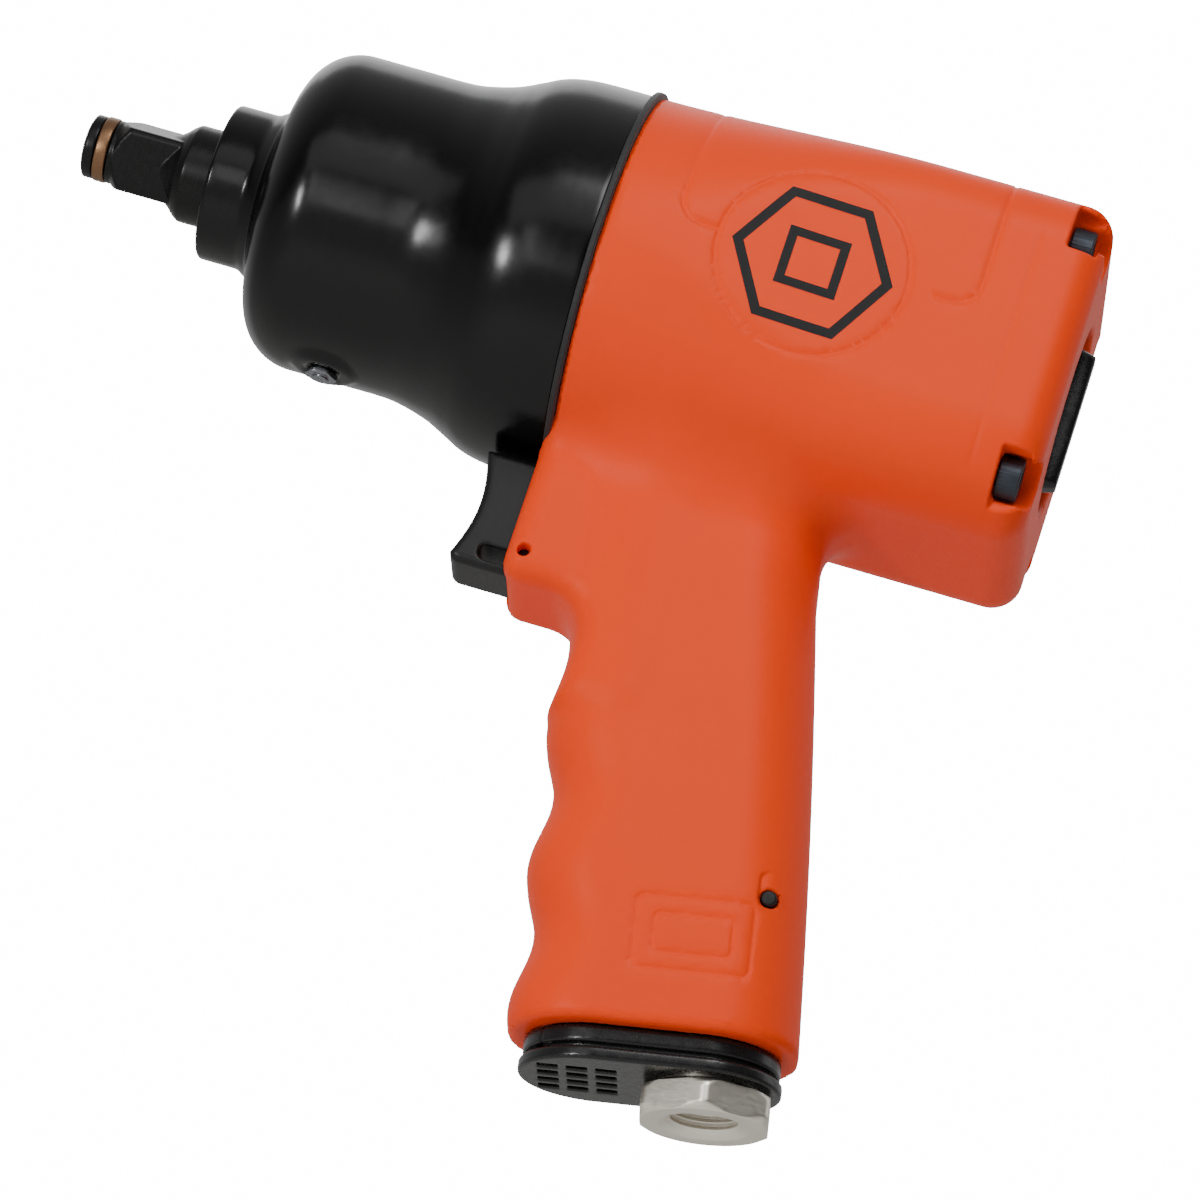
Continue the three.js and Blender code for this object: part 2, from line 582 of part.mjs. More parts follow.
function makeHousing() {
  const barrel = solid(loft((t, angle) => barrelSection(1 - t, angle), 10, 40));
  const handle = solid(loft(gripSection, 18, 24).applyMatrix4(gripMatrix));
  const outside = join(barrel, handle, makeTriggerBox(), makeSaddle());
  const motorBore = rod(BODY_FRONT - 1, MOTOR_END, MOTOR_BORE, CASE_SIDES);
  const spindleHole = rod(MOTOR_END - 1, BODY_END, 5.1);
  const dialRecess = rod(RECESS.x, BODY_END + 1, RECESS.r, SIDES);
  const frontRelief = turned([[BODY_FRONT - 1, 0], [BODY_FRONT - 1, 31.4], [BODY_FRONT + 1, 31.4],
    [BODY_FRONT + 2.4, 30], [BODY_FRONT + 2.4, 0]], CASE_SIDES);
  const pockets = [-1, 1].flatMap((y) => [-1, 1].flatMap((z) => screwPocket(y, z)));
  const triggerPocket = box(TRIGGER_BOX_FRONT - 4, 121, -TRIGGER_HALF_WIDTH - 0.5,
    TRIGGER_HALF_WIDTH + 0.5, TRIGGER_FOOT - 0.5, -40.2);
  const triggerPinHole = rodY(-18, 18, 1.45, PIN_X, PIN_Z, 12);
  const valveBore = rodAt(119, 160, 7.4, 0, VALVE_Z);
  const airUp = rodZ(VALVE_Z, -26, 4.5, 131, 0, 12);
  const gripCuts = [
    rodZ(-3, 30, 9.5, INLET_U),
    rodZ(20, 96, 5.2, INLET_U - 4, 0, 12),
    rodY(-22, 22, 1.75, GRIP_PIN_U, GRIP_PIN_UP, 12),
    ovalPlate(22.6, 13.4, -1, 6),
    box(-17, -4, -11, 11, 4, 36),
    box(-16, -5, -6, 6, 34, 92),
  ].map((body) => {
    const geometry = geometryOf(body).applyMatrix4(gripMatrix);
    return solid(geometry);
  });
  return cut(outside, motorBore, frontRelief, spindleHole, dialRecess, ...pockets, triggerPocket,
    triggerPinHole, valveBore, airUp, ...gripCuts);
}

addPart(wrench, 'main_housing', makeHousing(), FINISH.orangeShell);

// ---- trigger and throttle valve -------------------------------------------------------------
const TRIGGER_BACK = 111.6;

// The finger face is hollow in side view, the lower tip is round, and a long slot lets the
// cross pin hold the trigger in the body.
function makeTrigger() {
  const shape = new THREE.Shape();
  shape.moveTo(TRIGGER_BACK, -40.6);
  shape.lineTo(93.4, -40.6);
  shape.quadraticCurveTo(96.8, -51, 93.3, -60.6);
  shape.absarc(95.5, TRIGGER_FOOT + 2.3, 2.3, 0.8 * Math.PI, 1.5 * Math.PI, false);
  shape.lineTo(TRIGGER_BACK, TRIGGER_FOOT);
  shape.closePath();
  const slot = new THREE.Shape();
  slot.absarc(98.2 + 1.6, PIN_Z, 1.6, 0.5 * Math.PI, 1.5 * Math.PI, false);
  slot.lineTo(PIN_X + 1.8, PIN_Z - 1.6);
  slot.lineTo(PIN_X + 1.8, PIN_Z + 1.6);
  slot.closePath();
  const stemHole = rodAt(104, 113, 2.6, 0, VALVE_Z, 12);
  return cut(plateY(shape, TRIGGER_HALF_WIDTH, 1.6), plateY(slot, 12), stemHole);
}

addPart(wrench, 'trigger', makeTrigger(), FINISH.triggerPlastic);
addPart(wrench, 'trigger_pin', rodY(-11.5, 11.5, 1.2, 0, 0, 12), FINISH.bareSteel, [PIN_X, 0, PIN_Z]);

// The valve's stem is pushed by the trigger and carries a rubber-faced head behind its seat.
function makeThrottleValve() {
  return turned([[0, 0], [0, 2.3], [30.2, 2.3], [30.2, 5.2], [33.4, 5.2], [33.4, 2.4], [36, 2.4], [36, 0]],
    SMALL_SIDES);
}

function makeThrottleSpring() {
  const turns = 4;
  const stepsPerTurn = 9;
  const points = [...Array(turns * stepsPerTurn + 1).keys()].map((i) => {
    const angle = (i / stepsPerTurn) * 2 * Math.PI;
    const x = 0.6 + (13.4 * i) / (turns * stepsPerTurn);
    return new THREE.Vector3(x, 4 * Math.cos(angle), 4 * Math.sin(angle));
  });
  const path = new THREE.CatmullRomCurve3(points);
  const section = new THREE.Shape().absarc(0, 0, 0.5, 0, 2 * Math.PI);
  const wire = new THREE.ExtrudeGeometry(section, {
    steps: turns * stepsPerTurn, extrudePath: path, bevelEnabled: false, curveSegments: 2,
  });
  return solid(wire);
}

addPart(wrench, 'throttle_valve', makeThrottleValve(), FINISH.brass, [105, 0, VALVE_Z]);
addPart(wrench, 'throttle_seat', ring(0, 10.4, 7, 3.2, SMALL_SIDES), FINISH.brass, [124, 0, VALVE_Z]);
addPart(wrench, 'throttle_spring', makeThrottleSpring(), FINISH.bareSteel, [139.6, 0, VALVE_Z]);

// ---- foot of the grip -----------------------------------------------------------------------
const FOOT_HALF_DEPTH = 24.8;
const FOOT_HALF_WIDTH = 14.6;
const FOOT_FACE = -7;


const SLOT = { columns: 3, rows: 4, pitchU: 5.5, pitchY: 4.4, halfU: 1.9, halfY: 1.3, firstU: -19 };

// Two stepped bands with a groove between them, open above, with a grid of slots in front and
// a round hole for the inlet behind.
function makeDeflector() {
  const upper = ovalPlate(FOOT_HALF_DEPTH - 0.6, FOOT_HALF_WIDTH - 0.4, -3.6, -GAP);
  const groove = ovalPlate(FOOT_HALF_DEPTH - 1.8, FOOT_HALF_WIDTH - 1.6, -4.6, -3.5);
  const lower = ovalPlate(FOOT_HALF_DEPTH, FOOT_HALF_WIDTH, FOOT_FACE, -4.5);
  const hollow = box(-20.5, -1.5, -9.5, 9.5, -5.8, 1);
  const inletHole = rodZ(-9, 1, 10, INLET_U);
  const slots = [];
  for (let column = 0; column < SLOT.columns; column += 1) {
    for (let row = 0; row < SLOT.rows; row += 1) {
      const u = SLOT.firstU + column * SLOT.pitchU;
      const y = (row - (SLOT.rows - 1) / 2) * SLOT.pitchY;
      slots.push(box(u - SLOT.halfU, u + SLOT.halfU, y - SLOT.halfY, y + SLOT.halfY, -9, -5));
    }
  }
  return cut(join(upper, groove, lower), hollow, inletHole, ...slots);
}

const hexagonRadius = INLET_FLATS / Math.sqrt(3);

// The hexagon has a round throat with the pipe thread, and a shank that goes up into the grip.
function makeInlet() {
  const height = -8 - INLET_FACE;
  const prism = new THREE.CylinderGeometry(hexagonRadius, hexagonRadius, height, 6, 1, false, Math.PI / 2);
  const hexagon = placed(prism, [0, 0, (INLET_FACE - 8) / 2], [Math.PI / 2, 0, 0]);
  const chamfer = placed(new THREE.LatheGeometry([
    new THREE.Vector2(0, INLET_FACE), new THREE.Vector2(11.6, INLET_FACE),
    new THREE.Vector2(14, INLET_FACE + 1.6), new THREE.Vector2(14, -8), new THREE.Vector2(0, -8),
  ], SIDES), [0, 0, 0], [Math.PI / 2, 0, 0]);
  const shank = rodZ(-8.1, 26, 9.2);
  const throat = rodZ(INLET_FACE - 1, 9, 6.5, 0, 0, 24);
  const mouth = placed(new THREE.LatheGeometry([
    new THREE.Vector2(0, INLET_FACE - 1), new THREE.Vector2(8.3, INLET_FACE - 1),
    new THREE.Vector2(6.5, INLET_FACE + 0.8), new THREE.Vector2(0, INLET_FACE + 0.8),
  ], 24), [0, 0, 0], [Math.PI / 2, 0, 0]);
  const airWay = rodZ(8, 27, 4.6, 0, 0, 12);
  const ringGroove = cut(rodZ(19, 21.6, 10), rodZ(18, 22, 7.9));
  const pinGroove = rodY(-12, 12, 1.75, GRIP_PIN_U - INLET_U, GRIP_PIN_UP, 12);
  const flatHexagon = hexagon.intersect(chamfer);
  return cut(join(flatHexagon, shank), throat, mouth, airWay, ringGroove, pinGroove);
}

// A ring about the grip's own upright axis.
function ringZ(z0, z1, outer, inner, sides = SMALL_SIDES) {
  return cut(rodZ(z0, z1, outer, 0, 0, sides), rodZ(z0 - 1, z1 + 1, inner, 0, 0, sides));
}

addPart(grip, 'exhaust_deflector', makeDeflector(), FINISH.blackPlastic);
addPart(grip, 'air_inlet', makeInlet(), FINISH.nickel, [INLET_U, 0, 0]);
addPart(grip, 'inlet_screen', ringZ(9.3, 10.3, 4.2, 2), FINISH.bareSteel, [INLET_U, 0, 0]);
addPart(grip, 'inlet_o_ring', ringZ(19.3, 21.3, 9.3, 8.2), FINISH.rubber, [INLET_U, 0, 0]);
addPart(grip, 'grip_pin', rodY(-16.6, 16.6, 1.5, 0, 0, 12), FINISH.bareSteel, [GRIP_PIN_U, 0, GRIP_PIN_UP]);

function makeMufflerFoam() {
  return box(-15.6, -5.4, -10.6, 10.6, 4.4, 33);
}

function makeFootGasket() {
  const inletHole = rodZ(-1, 4, 10, INLET_U);
  const exhaustHole = box(-17, -3, -8, 8, -1, 4);
  return cut(ovalPlate(22, 12.8, GAP, 2), inletHole, exhaustHole);
}

addPart(grip, 'muffler_foam', makeMufflerFoam(), FINISH.foam);
addPart(grip, 'foot_gasket', makeFootGasket(), FINISH.rubber);

export default wrench;
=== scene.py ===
"""Looks of a half-inch pistol-grip air impact wrench, built round its CAD frame.

The frame's +X runs along the motor axis to the rear and +Z is up. Sizes in this file are in
millimetres on the motor line's own X, which part() moves to the frame's, and they become metres
when a mesh is made.
"""

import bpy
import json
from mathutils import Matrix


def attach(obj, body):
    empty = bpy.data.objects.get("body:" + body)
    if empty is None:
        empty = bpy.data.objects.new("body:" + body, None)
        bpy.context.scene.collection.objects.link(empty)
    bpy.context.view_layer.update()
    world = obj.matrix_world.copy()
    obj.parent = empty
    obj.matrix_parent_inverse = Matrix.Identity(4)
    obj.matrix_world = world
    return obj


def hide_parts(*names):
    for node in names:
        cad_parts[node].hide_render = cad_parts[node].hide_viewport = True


bl_info = {
    "name": "Air impact wrench",
    "version": (1, 0, 0),
    "blender": (4, 5, 0),
    "location": "3D View > Sidebar > Wrench",
    "description": "Makes the shell, the fittings, the finishes and the stage of an air impact wrench",
    "category": "Object",
}

import json
import math

import bmesh
import bpy
import numpy as np
from bpy.props import FloatProperty, FloatVectorProperty, PointerProperty
from mathutils import Matrix, Vector

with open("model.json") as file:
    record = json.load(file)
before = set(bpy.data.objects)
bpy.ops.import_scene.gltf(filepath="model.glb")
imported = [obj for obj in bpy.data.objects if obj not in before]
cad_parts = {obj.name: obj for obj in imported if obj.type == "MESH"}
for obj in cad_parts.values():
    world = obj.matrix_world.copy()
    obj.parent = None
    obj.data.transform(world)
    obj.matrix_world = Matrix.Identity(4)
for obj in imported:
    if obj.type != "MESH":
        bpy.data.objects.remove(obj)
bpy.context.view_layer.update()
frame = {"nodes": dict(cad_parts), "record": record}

MM = 0.001
NOSE = 2.0  # the motor line's own X is 0 this far behind the anvil's front face
LEAN = math.radians(11)
GRIP_FOOT = (159.0, 0.0, -144.2)  # on the motor line's own X
GRIP_TOP = 112.0

BODY_FRONT, BODY_END = 105.3, 197.5
JOINT_R = 39.0
HALF_WIDTH, HALF_HEIGHT = 34.5, 34  # of the barrel at the rear
TOP_CORNER, LOW_CORNER = 12, 18
MOTOR_BORE, MOTOR_END = 30, 178.5
FINGER_PITCH, FINGER_DEPTH = 27.8, 1.5
MARK_X, MARK_Z = 145, 3
CASE_FRONT, CASE_END = 25.2, 103.9
DOME_R, DOME_CORNER = 31.75, 11
BOSS_R, CASE_BORE = 15.6, 28.3
FITTING_X = 57
CORE_R, JAW_REACH = 8.4, 12.2  # the anvil between and across its jaws
VALVE_Z = -53
BOLT_Y, BOLT_Z = 25.5, 24.3
HEAD_SEAT = 190.0
PIN_X, PIN_Z = 107.5, -61.0
INLET_U = 10.9
GRIP_PIN = (18.8, 27.0)  # behind and above the middle of the grip's foot


# ---- arrays and meshes -----------------------------------------------------------------------
def ramp(t):
    """0 below 0, 1 above 1, and 3t^2 - 2t^3 between."""
    t = np.clip(t, 0, 1)
    return t * t * (3 - 2 * t)


def both(a, b, r):
    """The solid common to two, from their distances: its edge is an arc of radius r."""
    return (np.minimum(np.maximum(a, b) + r, 0)
            + np.hypot(np.maximum(a + r, 0), np.maximum(b + r, 0)) - r)


def either(a, b, r):
    """Two solids as one, with a hollow arc of radius r where their skins meet."""
    return np.maximum(r, np.minimum(a, b)) - np.hypot(np.maximum(r - a, 0), np.maximum(r - b, 0))


def less(a, b, r):
    """The first solid without the second, its new edge an arc of radius r."""
    return both(a, -b, r)


def rounded_box(p, q, half_p, half_q, corner):
    """Distance to a rectangle with corners of radius `corner`, centred on 0."""
    a, b = np.abs(p) - half_p + corner, np.abs(q) - half_q + corner
    return np.hypot(np.maximum(a, 0), np.maximum(b, 0)) + np.minimum(np.maximum(a, b), 0) - corner


def slab(x, low, high):
    """Distance to the layer between two planes."""
    return np.maximum(low - x, x - high)


def place(name, data):
    """An object that holds the data, linked to the scene."""
    made = bpy.data.objects.new(name, data)
    bpy.context.scene.collection.objects.link(made)
    return made


def make_mesh(name, points, faces):
    """A smooth-shaded object at the origin from points in millimetres and faces, its doubles merged
    so that poles and seams are closed."""
    mesh = bpy.data.meshes.new(name)
    faces = np.asarray(faces)
    mesh.from_pydata((np.asarray(points, float).reshape(-1, 3) * MM).tolist(), [], faces.tolist())
    build = bmesh.new()
    build.from_mesh(mesh)
    bmesh.ops.remove_doubles(build, verts=build.verts, dist=2e-7)
    bmesh.ops.recalc_face_normals(build, faces=build.faces)
    build.to_mesh(mesh)
    build.free()
    mesh.shade_smooth()
    return place(name, mesh)


def grid_faces(rows, columns, close_rows=False, close_columns=True):
    """Four-sided faces of a grid whose columns, and rows if asked, join up at the end."""
    i = np.arange(rows if close_rows else rows - 1)[:, None]
    j = np.arange(columns if close_columns else columns - 1)[None, :]
    i2, j2 = (i + 1) % rows, (j + 1) % columns
    corners = [i * columns + j, i * columns + j2, i2 * columns + j2, i2 * columns + j]
    return np.stack([c + 0 * (i + j) for c in corners], -1).reshape(-1, 4)


def softened(corners, radius=0.4, steps=4, closed=False):
    """A line through the corners in which each corner is a small curve that starts `radius` before
    it: a parabola through the points at that distance either side."""
    line = np.array(corners, float)
    count = len(line)
    out = [] if closed else [line[:1]]
    t = np.linspace(0, 1, steps + 1)[:, None]
    for i in range(count) if closed else range(1, count - 1):
        here, before, after = line[i], line[i - 1], line[(i + 1) % count]
        reach = [min(radius, 0.45 * np.hypot(*(p - here))) for p in (before, after)]
        a = here + (before - here) / np.hypot(*(before - here)) * reach[0]
        b = here + (after - here) / np.hypot(*(after - here)) * reach[1]
        out.append((1 - t) ** 2 * a + 2 * t * (1 - t) * here + t * t * b)
    if not closed:
        out.append(line[-1:])
    return np.concatenate(out)


def dense(line, step, closed=False):
    """The same line with extra points, none further apart than step."""
    ends = np.roll(line, -1, 0) if closed else line[1:]
    out = []
    for a, b in zip(line, ends):
        count = max(1, int(np.ceil(np.hypot(*(b - a)) / step)))
        out.append(a + (b - a) * (np.arange(count) / count)[:, None])
    if not closed:
        out.append(line[-1:])
    return np.concatenate(out)


def turned(line, columns=128, closed=False, radius=None):
    """A line of (x, r) points carried round the X axis. radius(x, r, angle), if given, says how far
    out each point stands, so that flats, lobes and tabs come from the same surface."""
    x, r = line[:, :1], line[:, 1:]
    angle = np.linspace(0, 2 * np.pi, columns, endpoint=False)[None, :]
    if radius is not None:
        r = radius(x, r, angle)
    points = np.stack([x + 0 * angle, r * np.cos(angle), r * np.sin(angle)], -1)
    return points, grid_faces(len(line), columns, close_rows=closed)


def turn_x(points, degrees):
    """The points turned about the X axis, from +Y towards +Z."""
    c, s = math.cos(math.radians(degrees)), math.sin(math.radians(degrees))
    x, y, z = np.moveaxis(points, -1, 0)
    return np.stack([x, y * c - z * s, y * s + z * c], -1)


def upright(points):
    """Points of a piece turned about X, stood up so that its +X becomes +Z."""
    x, y, z = np.moveaxis(points, -1, 0)
    return np.stack([z, y, x], -1)


def on_grip(points):
    """Points in the grip's own (u, y, up), leaned and moved to the grip's foot."""
    u, y, up = np.moveaxis(points, -1, 0)
    c, s = math.cos(LEAN), math.sin(LEAN)
    return np.stack([u * c - up * s + GRIP_FOOT[0], y, u * s + up * c + GRIP_FOOT[2]], -1)


def moved(points, x=0.0, y=0.0, z=0.0):
    """The points shifted along the axes."""
    return points + np.array([x, y, z])


# ---- solids from a distance field --------------------------------------------------------------
def slope_of(field, p):
    """The field's slope at each point, from its values a hundredth of a millimetre either side."""
    step = 0.01 * np.eye(3)
    return np.stack([(field(*(p + s).T) - field(*(p - s).T)) / 0.02 for s in step], -1)


def settle(field, p, rounds=3, reach=1.0):
    """Each point goes down or up the field's slope to where the field is 0."""
    for _ in range(rounds):
        slope = slope_of(field, p)
        move = (field(*p.T) / np.maximum((slope ** 2).sum(1), 0.05))[:, None] * slope
        length = np.linalg.norm(move, axis=1, keepdims=True)
        p = p - move * np.minimum(1, reach / np.maximum(length, 1e-9))
    return p


def skin(field, low, high, pitch):
    """The skin of the solid in which field(x, y, z) is below 0. Each cube of a grid that the skin
    passes through gives one point, the mean of where its edges are crossed, and each crossed edge
    gives a face of the four cubes round it, facing out."""
    axes = [np.arange(a, b + pitch, pitch) for a, b in zip(low, high)]
    value = np.broadcast_to(
        field(axes[0][:, None, None], axes[1][None, :, None], axes[2][None, None, :]),
        [len(a) for a in axes]).astype(np.float32)
    inside = value < 0
    shape = np.array(value.shape) - 1
    offsets = np.array([[i, j, k] for i in (0, 1) for j in (0, 1) for k in (0, 1)])
    held = sum(inside[i:i + shape[0], j:j + shape[1], k:k + shape[2]].astype(np.int8)
               for i, j, k in offsets)
    cells = np.argwhere((held > 0) & (held < 8))
    number = np.full(shape, -1, np.int64)
    number[tuple(cells.T)] = np.arange(len(cells))
    corner = np.stack([value[tuple((cells + o).T)] for o in offsets], 1)
    total, crossings = np.zeros((len(cells), 3)), np.zeros((len(cells), 1))
    for a in range(8):
        for b in range(a + 1, 8):
            if np.abs(offsets[a] - offsets[b]).sum() != 1:
                continue
            va, vb = corner[:, a], corner[:, b]
            hit = (va < 0) != (vb < 0)
            t = np.where(hit, va / np.where(hit, va - vb, 1), 0)[:, None]
            total += np.where(hit[:, None], offsets[a] + t * (offsets[b] - offsets[a]), 0)
            crossings += hit[:, None]
    points = np.array(low) + (cells + total / crossings) * pitch
    faces = []
    for axis in range(3):
        one, two = (axis + 1) % 3, (axis + 2) % 3
        step = np.eye(3, dtype=int)
        first = np.moveaxis(inside, axis, 0)
        crossed = np.moveaxis(first[:-1] != first[1:], 0, axis)
        edge = np.argwhere(crossed)
        edge = edge[((edge[:, one] > 0) & (edge[:, two] > 0) & (edge < shape).all(1))]
        ring = [edge - step[one] - step[two], edge - step[two], edge, edge - step[one]]
        quad = np.stack([number[tuple(c.T)] for c in ring], 1)
        outward = inside[tuple(edge.T)]
        faces.append(np.where(outward[:, None], quad, quad[:, ::-1]))
    return points, np.concatenate(faces)


def triangles_of(points, quads):
    """Each four-sided face cut along its shorter diagonal."""
    p = points[quads]
    across = np.linalg.norm(p[:, 0] - p[:, 2], axis=1) <= np.linalg.norm(p[:, 1] - p[:, 3], axis=1)
    first = np.where(across[:, None], quads[:, [0, 1, 2]], quads[:, [0, 1, 3]])
    second = np.where(across[:, None], quads[:, [0, 2, 3]], quads[:, [1, 2, 3]])
    return np.concatenate([first, second])


def refine(points, faces, wanted):
    """Each edge that wanted(middles, lengths) asks for is halved, and a triangle with one, two or
    three halved edges becomes two, three or four, so that no gap opens."""
    pairs = np.sort(faces[:, [[0, 1], [1, 2], [2, 0]]], axis=2).reshape(-1, 2)
    key = pairs[:, 0] * len(points) + pairs[:, 1]
    unique, back = np.unique(key, return_inverse=True)
    ends = np.stack([unique // len(points), unique % len(points)], 1)
    middle = points[ends].mean(1)
    split = wanted(middle, np.linalg.norm(points[ends[:, 0]] - points[ends[:, 1]], axis=1))
    number = np.full(len(unique), -1, np.int64)
    number[split] = len(points) + np.arange(split.sum())
    m = number[back].reshape(-1, 3)
    count = (m >= 0).sum(1)
    shift = np.zeros(len(faces), int)
    shift[count == 1] = (m[count == 1] >= 0).argmax(1)
    shift[count == 2] = ((m[count == 2] < 0).argmax(1) + 1) % 3
    order = (np.arange(3)[None, :] + shift[:, None]) % 3
    f, m = np.take_along_axis(faces, order, 1), np.take_along_axis(m, order, 1)
    # Columns 0 to 2 are the triangle's corners and 3 to 5 the middles of its edges. Each row gives
    # the triangles for 0, 1, 2 or 3 halved edges.
    six = np.concatenate([f, m], 1)
    cuts = ([[0, 1, 2]], [[0, 3, 2], [3, 1, 2]], [[3, 1, 4], [0, 3, 4], [0, 4, 2]],
            [[0, 3, 5], [3, 1, 4], [5, 4, 2], [3, 4, 5]])
    new = [six[count == halved][:, cut] for halved, row in enumerate(cuts) for cut in row]
    return np.concatenate([points, middle[split]]), np.concatenate(new)


# ---- finishes ----------------------------------------------------------------------------------
def linear(code):
    """The linear colour of an sRGB hex value."""
    value = np.array([int(code[i:i + 2], 16) for i in (1, 3, 5)]) / 255
    return tuple(np.where(value <= 0.04045, value / 12.92, ((value + 0.055) / 1.055) ** 2.4).tolist())


def feed(tree, node, sockets):
    """Gives each input named or numbered in sockets its value or the output that feeds it."""
    for key, value in sockets.items():
        if isinstance(value, bpy.types.NodeSocket):
            tree.links.new(value, node.inputs[key])
        else:
            node.inputs[key].default_value = value


def add(tree, kind, sockets=None, **settings):
    """Adds a node with its settings and what its inputs take, as in feed()."""
    made = tree.nodes.new(kind)
    for key, value in settings.items():
        setattr(made, key, value)
    feed(tree, made, sockets or {})
    return made


def finish_material(name, base, second, rough, grain, grain_depth, mottle, metallic=0.0,
                    stretch=(1, 1, 1), ior=None, sheen=0.0, gloss=0.5):
    """A procedural finish. The colour drifts between two linear shades over `mottle` millimetres, the
    roughness runs over its range with the grain, and the grain is a relief `grain` millimetres wide
    and `grain_depth` millimetres deep, drawn out along an axis where `stretch` is below 1."""
    material = bpy.data.materials.new(name)
    material.use_nodes = True
    tree = material.node_tree
    shader = tree.nodes["Principled BSDF"]
    where = add(tree, "ShaderNodeTexCoord").outputs["Object"]
    scaled = add(tree, "ShaderNodeMapping", {"Vector": where, "Scale": stretch}).outputs[0]
    drift = add(tree, "ShaderNodeTexNoise",
                {"Vector": where, "Scale": 1 / (mottle * MM), "Detail": 3.0, "Roughness": 0.55})
    relief = add(tree, "ShaderNodeTexNoise",
                 {"Vector": scaled, "Scale": 1 / (grain * MM), "Detail": 2.0, "Roughness": 0.6})
    mix = add(tree, "ShaderNodeMix", {"Factor": drift.outputs["Fac"], "A": (*base, 1),
                                      "B": (*second, 1)}, data_type="RGBA")
    span = add(tree, "ShaderNodeMapRange", {"Value": relief.outputs["Fac"], "From Min": 0.3,
                                            "From Max": 0.7, "To Min": rough[0], "To Max": rough[1]})
    bump = add(tree, "ShaderNodeBump", {"Height": relief.outputs["Fac"], "Strength": 1.0,
                                        "Distance": grain_depth * MM})
    feed(tree, shader, {
        "Base Color": mix.outputs["Result"], "Roughness": span.outputs["Result"],
        "Normal": bump.outputs["Normal"], "Metallic": metallic, "Specular IOR Level": gloss,
        "Sheen Weight": sheen, **({"IOR": ior} if ior else {})})
    return material


# Each row: the record's slot, the real material and how its surface was made, its two shades and
# its settings.
FINISHES = {
    # Glass-filled nylon, moulded in a spark-eroded tool: a satin skin with a fine even grain.
    "orange_composite": ("moulded_glass_filled_nylon", "#FB4400", "#F53E00", dict(
        rough=(0.4, 0.5), grain=0.45, grain_depth=0.012,
        mottle=30, ior=1.52, gloss=0.14)),
    # Stove enamel sprayed on a cast aluminium case: deep gloss with a slight orange peel.
    "case_lacquer": ("stove_enamelled_aluminium", "#030304", "#050506", dict(
        rough=(0.2, 0.24), grain=2.2, grain_depth=0.008,
        mottle=25, ior=1.5, gloss=0.28)),
    # ABS moulded in a polished tool: glossy, a little uneven.
    "black_plastic": ("polished_mould_abs", "#141415", "#1B1B1C", dict(
        rough=(0.22, 0.32), grain=1.4, grain_depth=0.006,
        mottle=14, ior=1.53, gloss=0.35)),
    # Acetal moulded in a lightly blasted tool: satin dark grey.
    "trigger_plastic": ("blasted_mould_acetal", "#131314", "#181819", dict(
        rough=(0.36, 0.48), grain=0.4, grain_depth=0.01,
        mottle=8, ior=1.48, gloss=0.3)),
    # Alloy steel, ground and hot-blackened: dark, with drawn-out grinding marks round the axis.
    "black_oxide_steel": ("black_oxide_ground_steel", "#0A0A0B", "#100F0F", dict(
        rough=(0.26, 0.34), metallic=0.15, grain=0.5,
        grain_depth=0.004, gloss=0.25, mottle=5, stretch=(1, 0.25, 0.25))),
    # Hardened steel left bright: grey, fine turning marks.
    "hardened_steel": ("turned_hardened_steel", "#8C8F93", "#7B7E82", dict(
        rough=(0.28, 0.4), metallic=1.0, grain=0.35,
        grain_depth=0.006, mottle=8, stretch=(1, 0.2, 0.2))),
    # Cold-headed screws with a blue-grey phosphate coat.
    "screw_steel": ("phosphated_cold_headed_steel", "#3A4048", "#2E3339", dict(
        rough=(0.42, 0.55), metallic=0.7, grain=0.3,
        grain_depth=0.01, mottle=3)),
    # Brass bar, milled and nickel plated: pale warm metal with faint cutter marks.
    "nickel_plate": ("nickel_plated_milled_brass", "#F4EFE4", "#E6DFD2", dict(
        rough=(0.36, 0.46), metallic=1.0, grain=0.5,
        grain_depth=0.005, mottle=7, stretch=(0.25, 0.25, 1))),
    # Turned brass.
    "brass": ("turned_brass", "#B9924C", "#A67F3C", dict(
        rough=(0.26, 0.38), metallic=1.0, grain=0.35,
        grain_depth=0.006, mottle=6, stretch=(1, 0.2, 0.2))),
    # Cold-drawn phosphor bronze, browned by handling.
    "bronze": ("cold_drawn_bronze", "#6E4F38", "#8A6A4E", dict(
        rough=(0.3, 0.45), metallic=0.9, grain=0.3,
        grain_depth=0.008, mottle=2)),
    # Honed cast iron: grey, close grain.
    "liner_iron": ("honed_cast_iron", "#6F7276", "#63666A", dict(
        rough=(0.35, 0.5), metallic=1.0, grain=0.4,
        grain_depth=0.008, mottle=5)),
    # Cloth-filled phenolic cut to vanes: brown, woven look across the cut edge.
    "vane_composite": ("cloth_filled_phenolic", "#6A4528", "#7C5736", dict(
        rough=(0.55, 0.7), grain=0.6, grain_depth=0.02, mottle=2)),
    # Nitrile rubber, moulded: matt black.
    "rubber": ("moulded_nitrile", "#131313", "#1A1A1A", dict(
        rough=(0.55, 0.7), grain=0.5, grain_depth=0.01,
        mottle=6, sheen=0.1)),
    # Open-cell silencer foam: matt dark grey with deep pores.
    "muffler_foam": ("open_cell_foam", "#3A3B3D", "#242527", dict(
        rough=(0.85, 0.95), grain=1.2, grain_depth=0.3, mottle=1.5)),
    # Spring pins, near black: the colour is a painted shade for the bottom of their holes.
    "pin_painted_shade": ("spring_pin_painted_shade", "#070707", "#0B0A09", dict(
        rough=(0.5, 0.6), metallic=0.2, grain=0.3,
        grain_depth=0.005, mottle=2)),
    # Two-part pad-print ink on the moulded body: matt black, just proud of it.
    "print_ink": ("pad_printed_ink", "#0C0C0D", "#111112", dict(
        rough=(0.5, 0.6), grain=0.3, grain_depth=0.004, mottle=3,
        gloss=0.25)),
}
MADE = {}


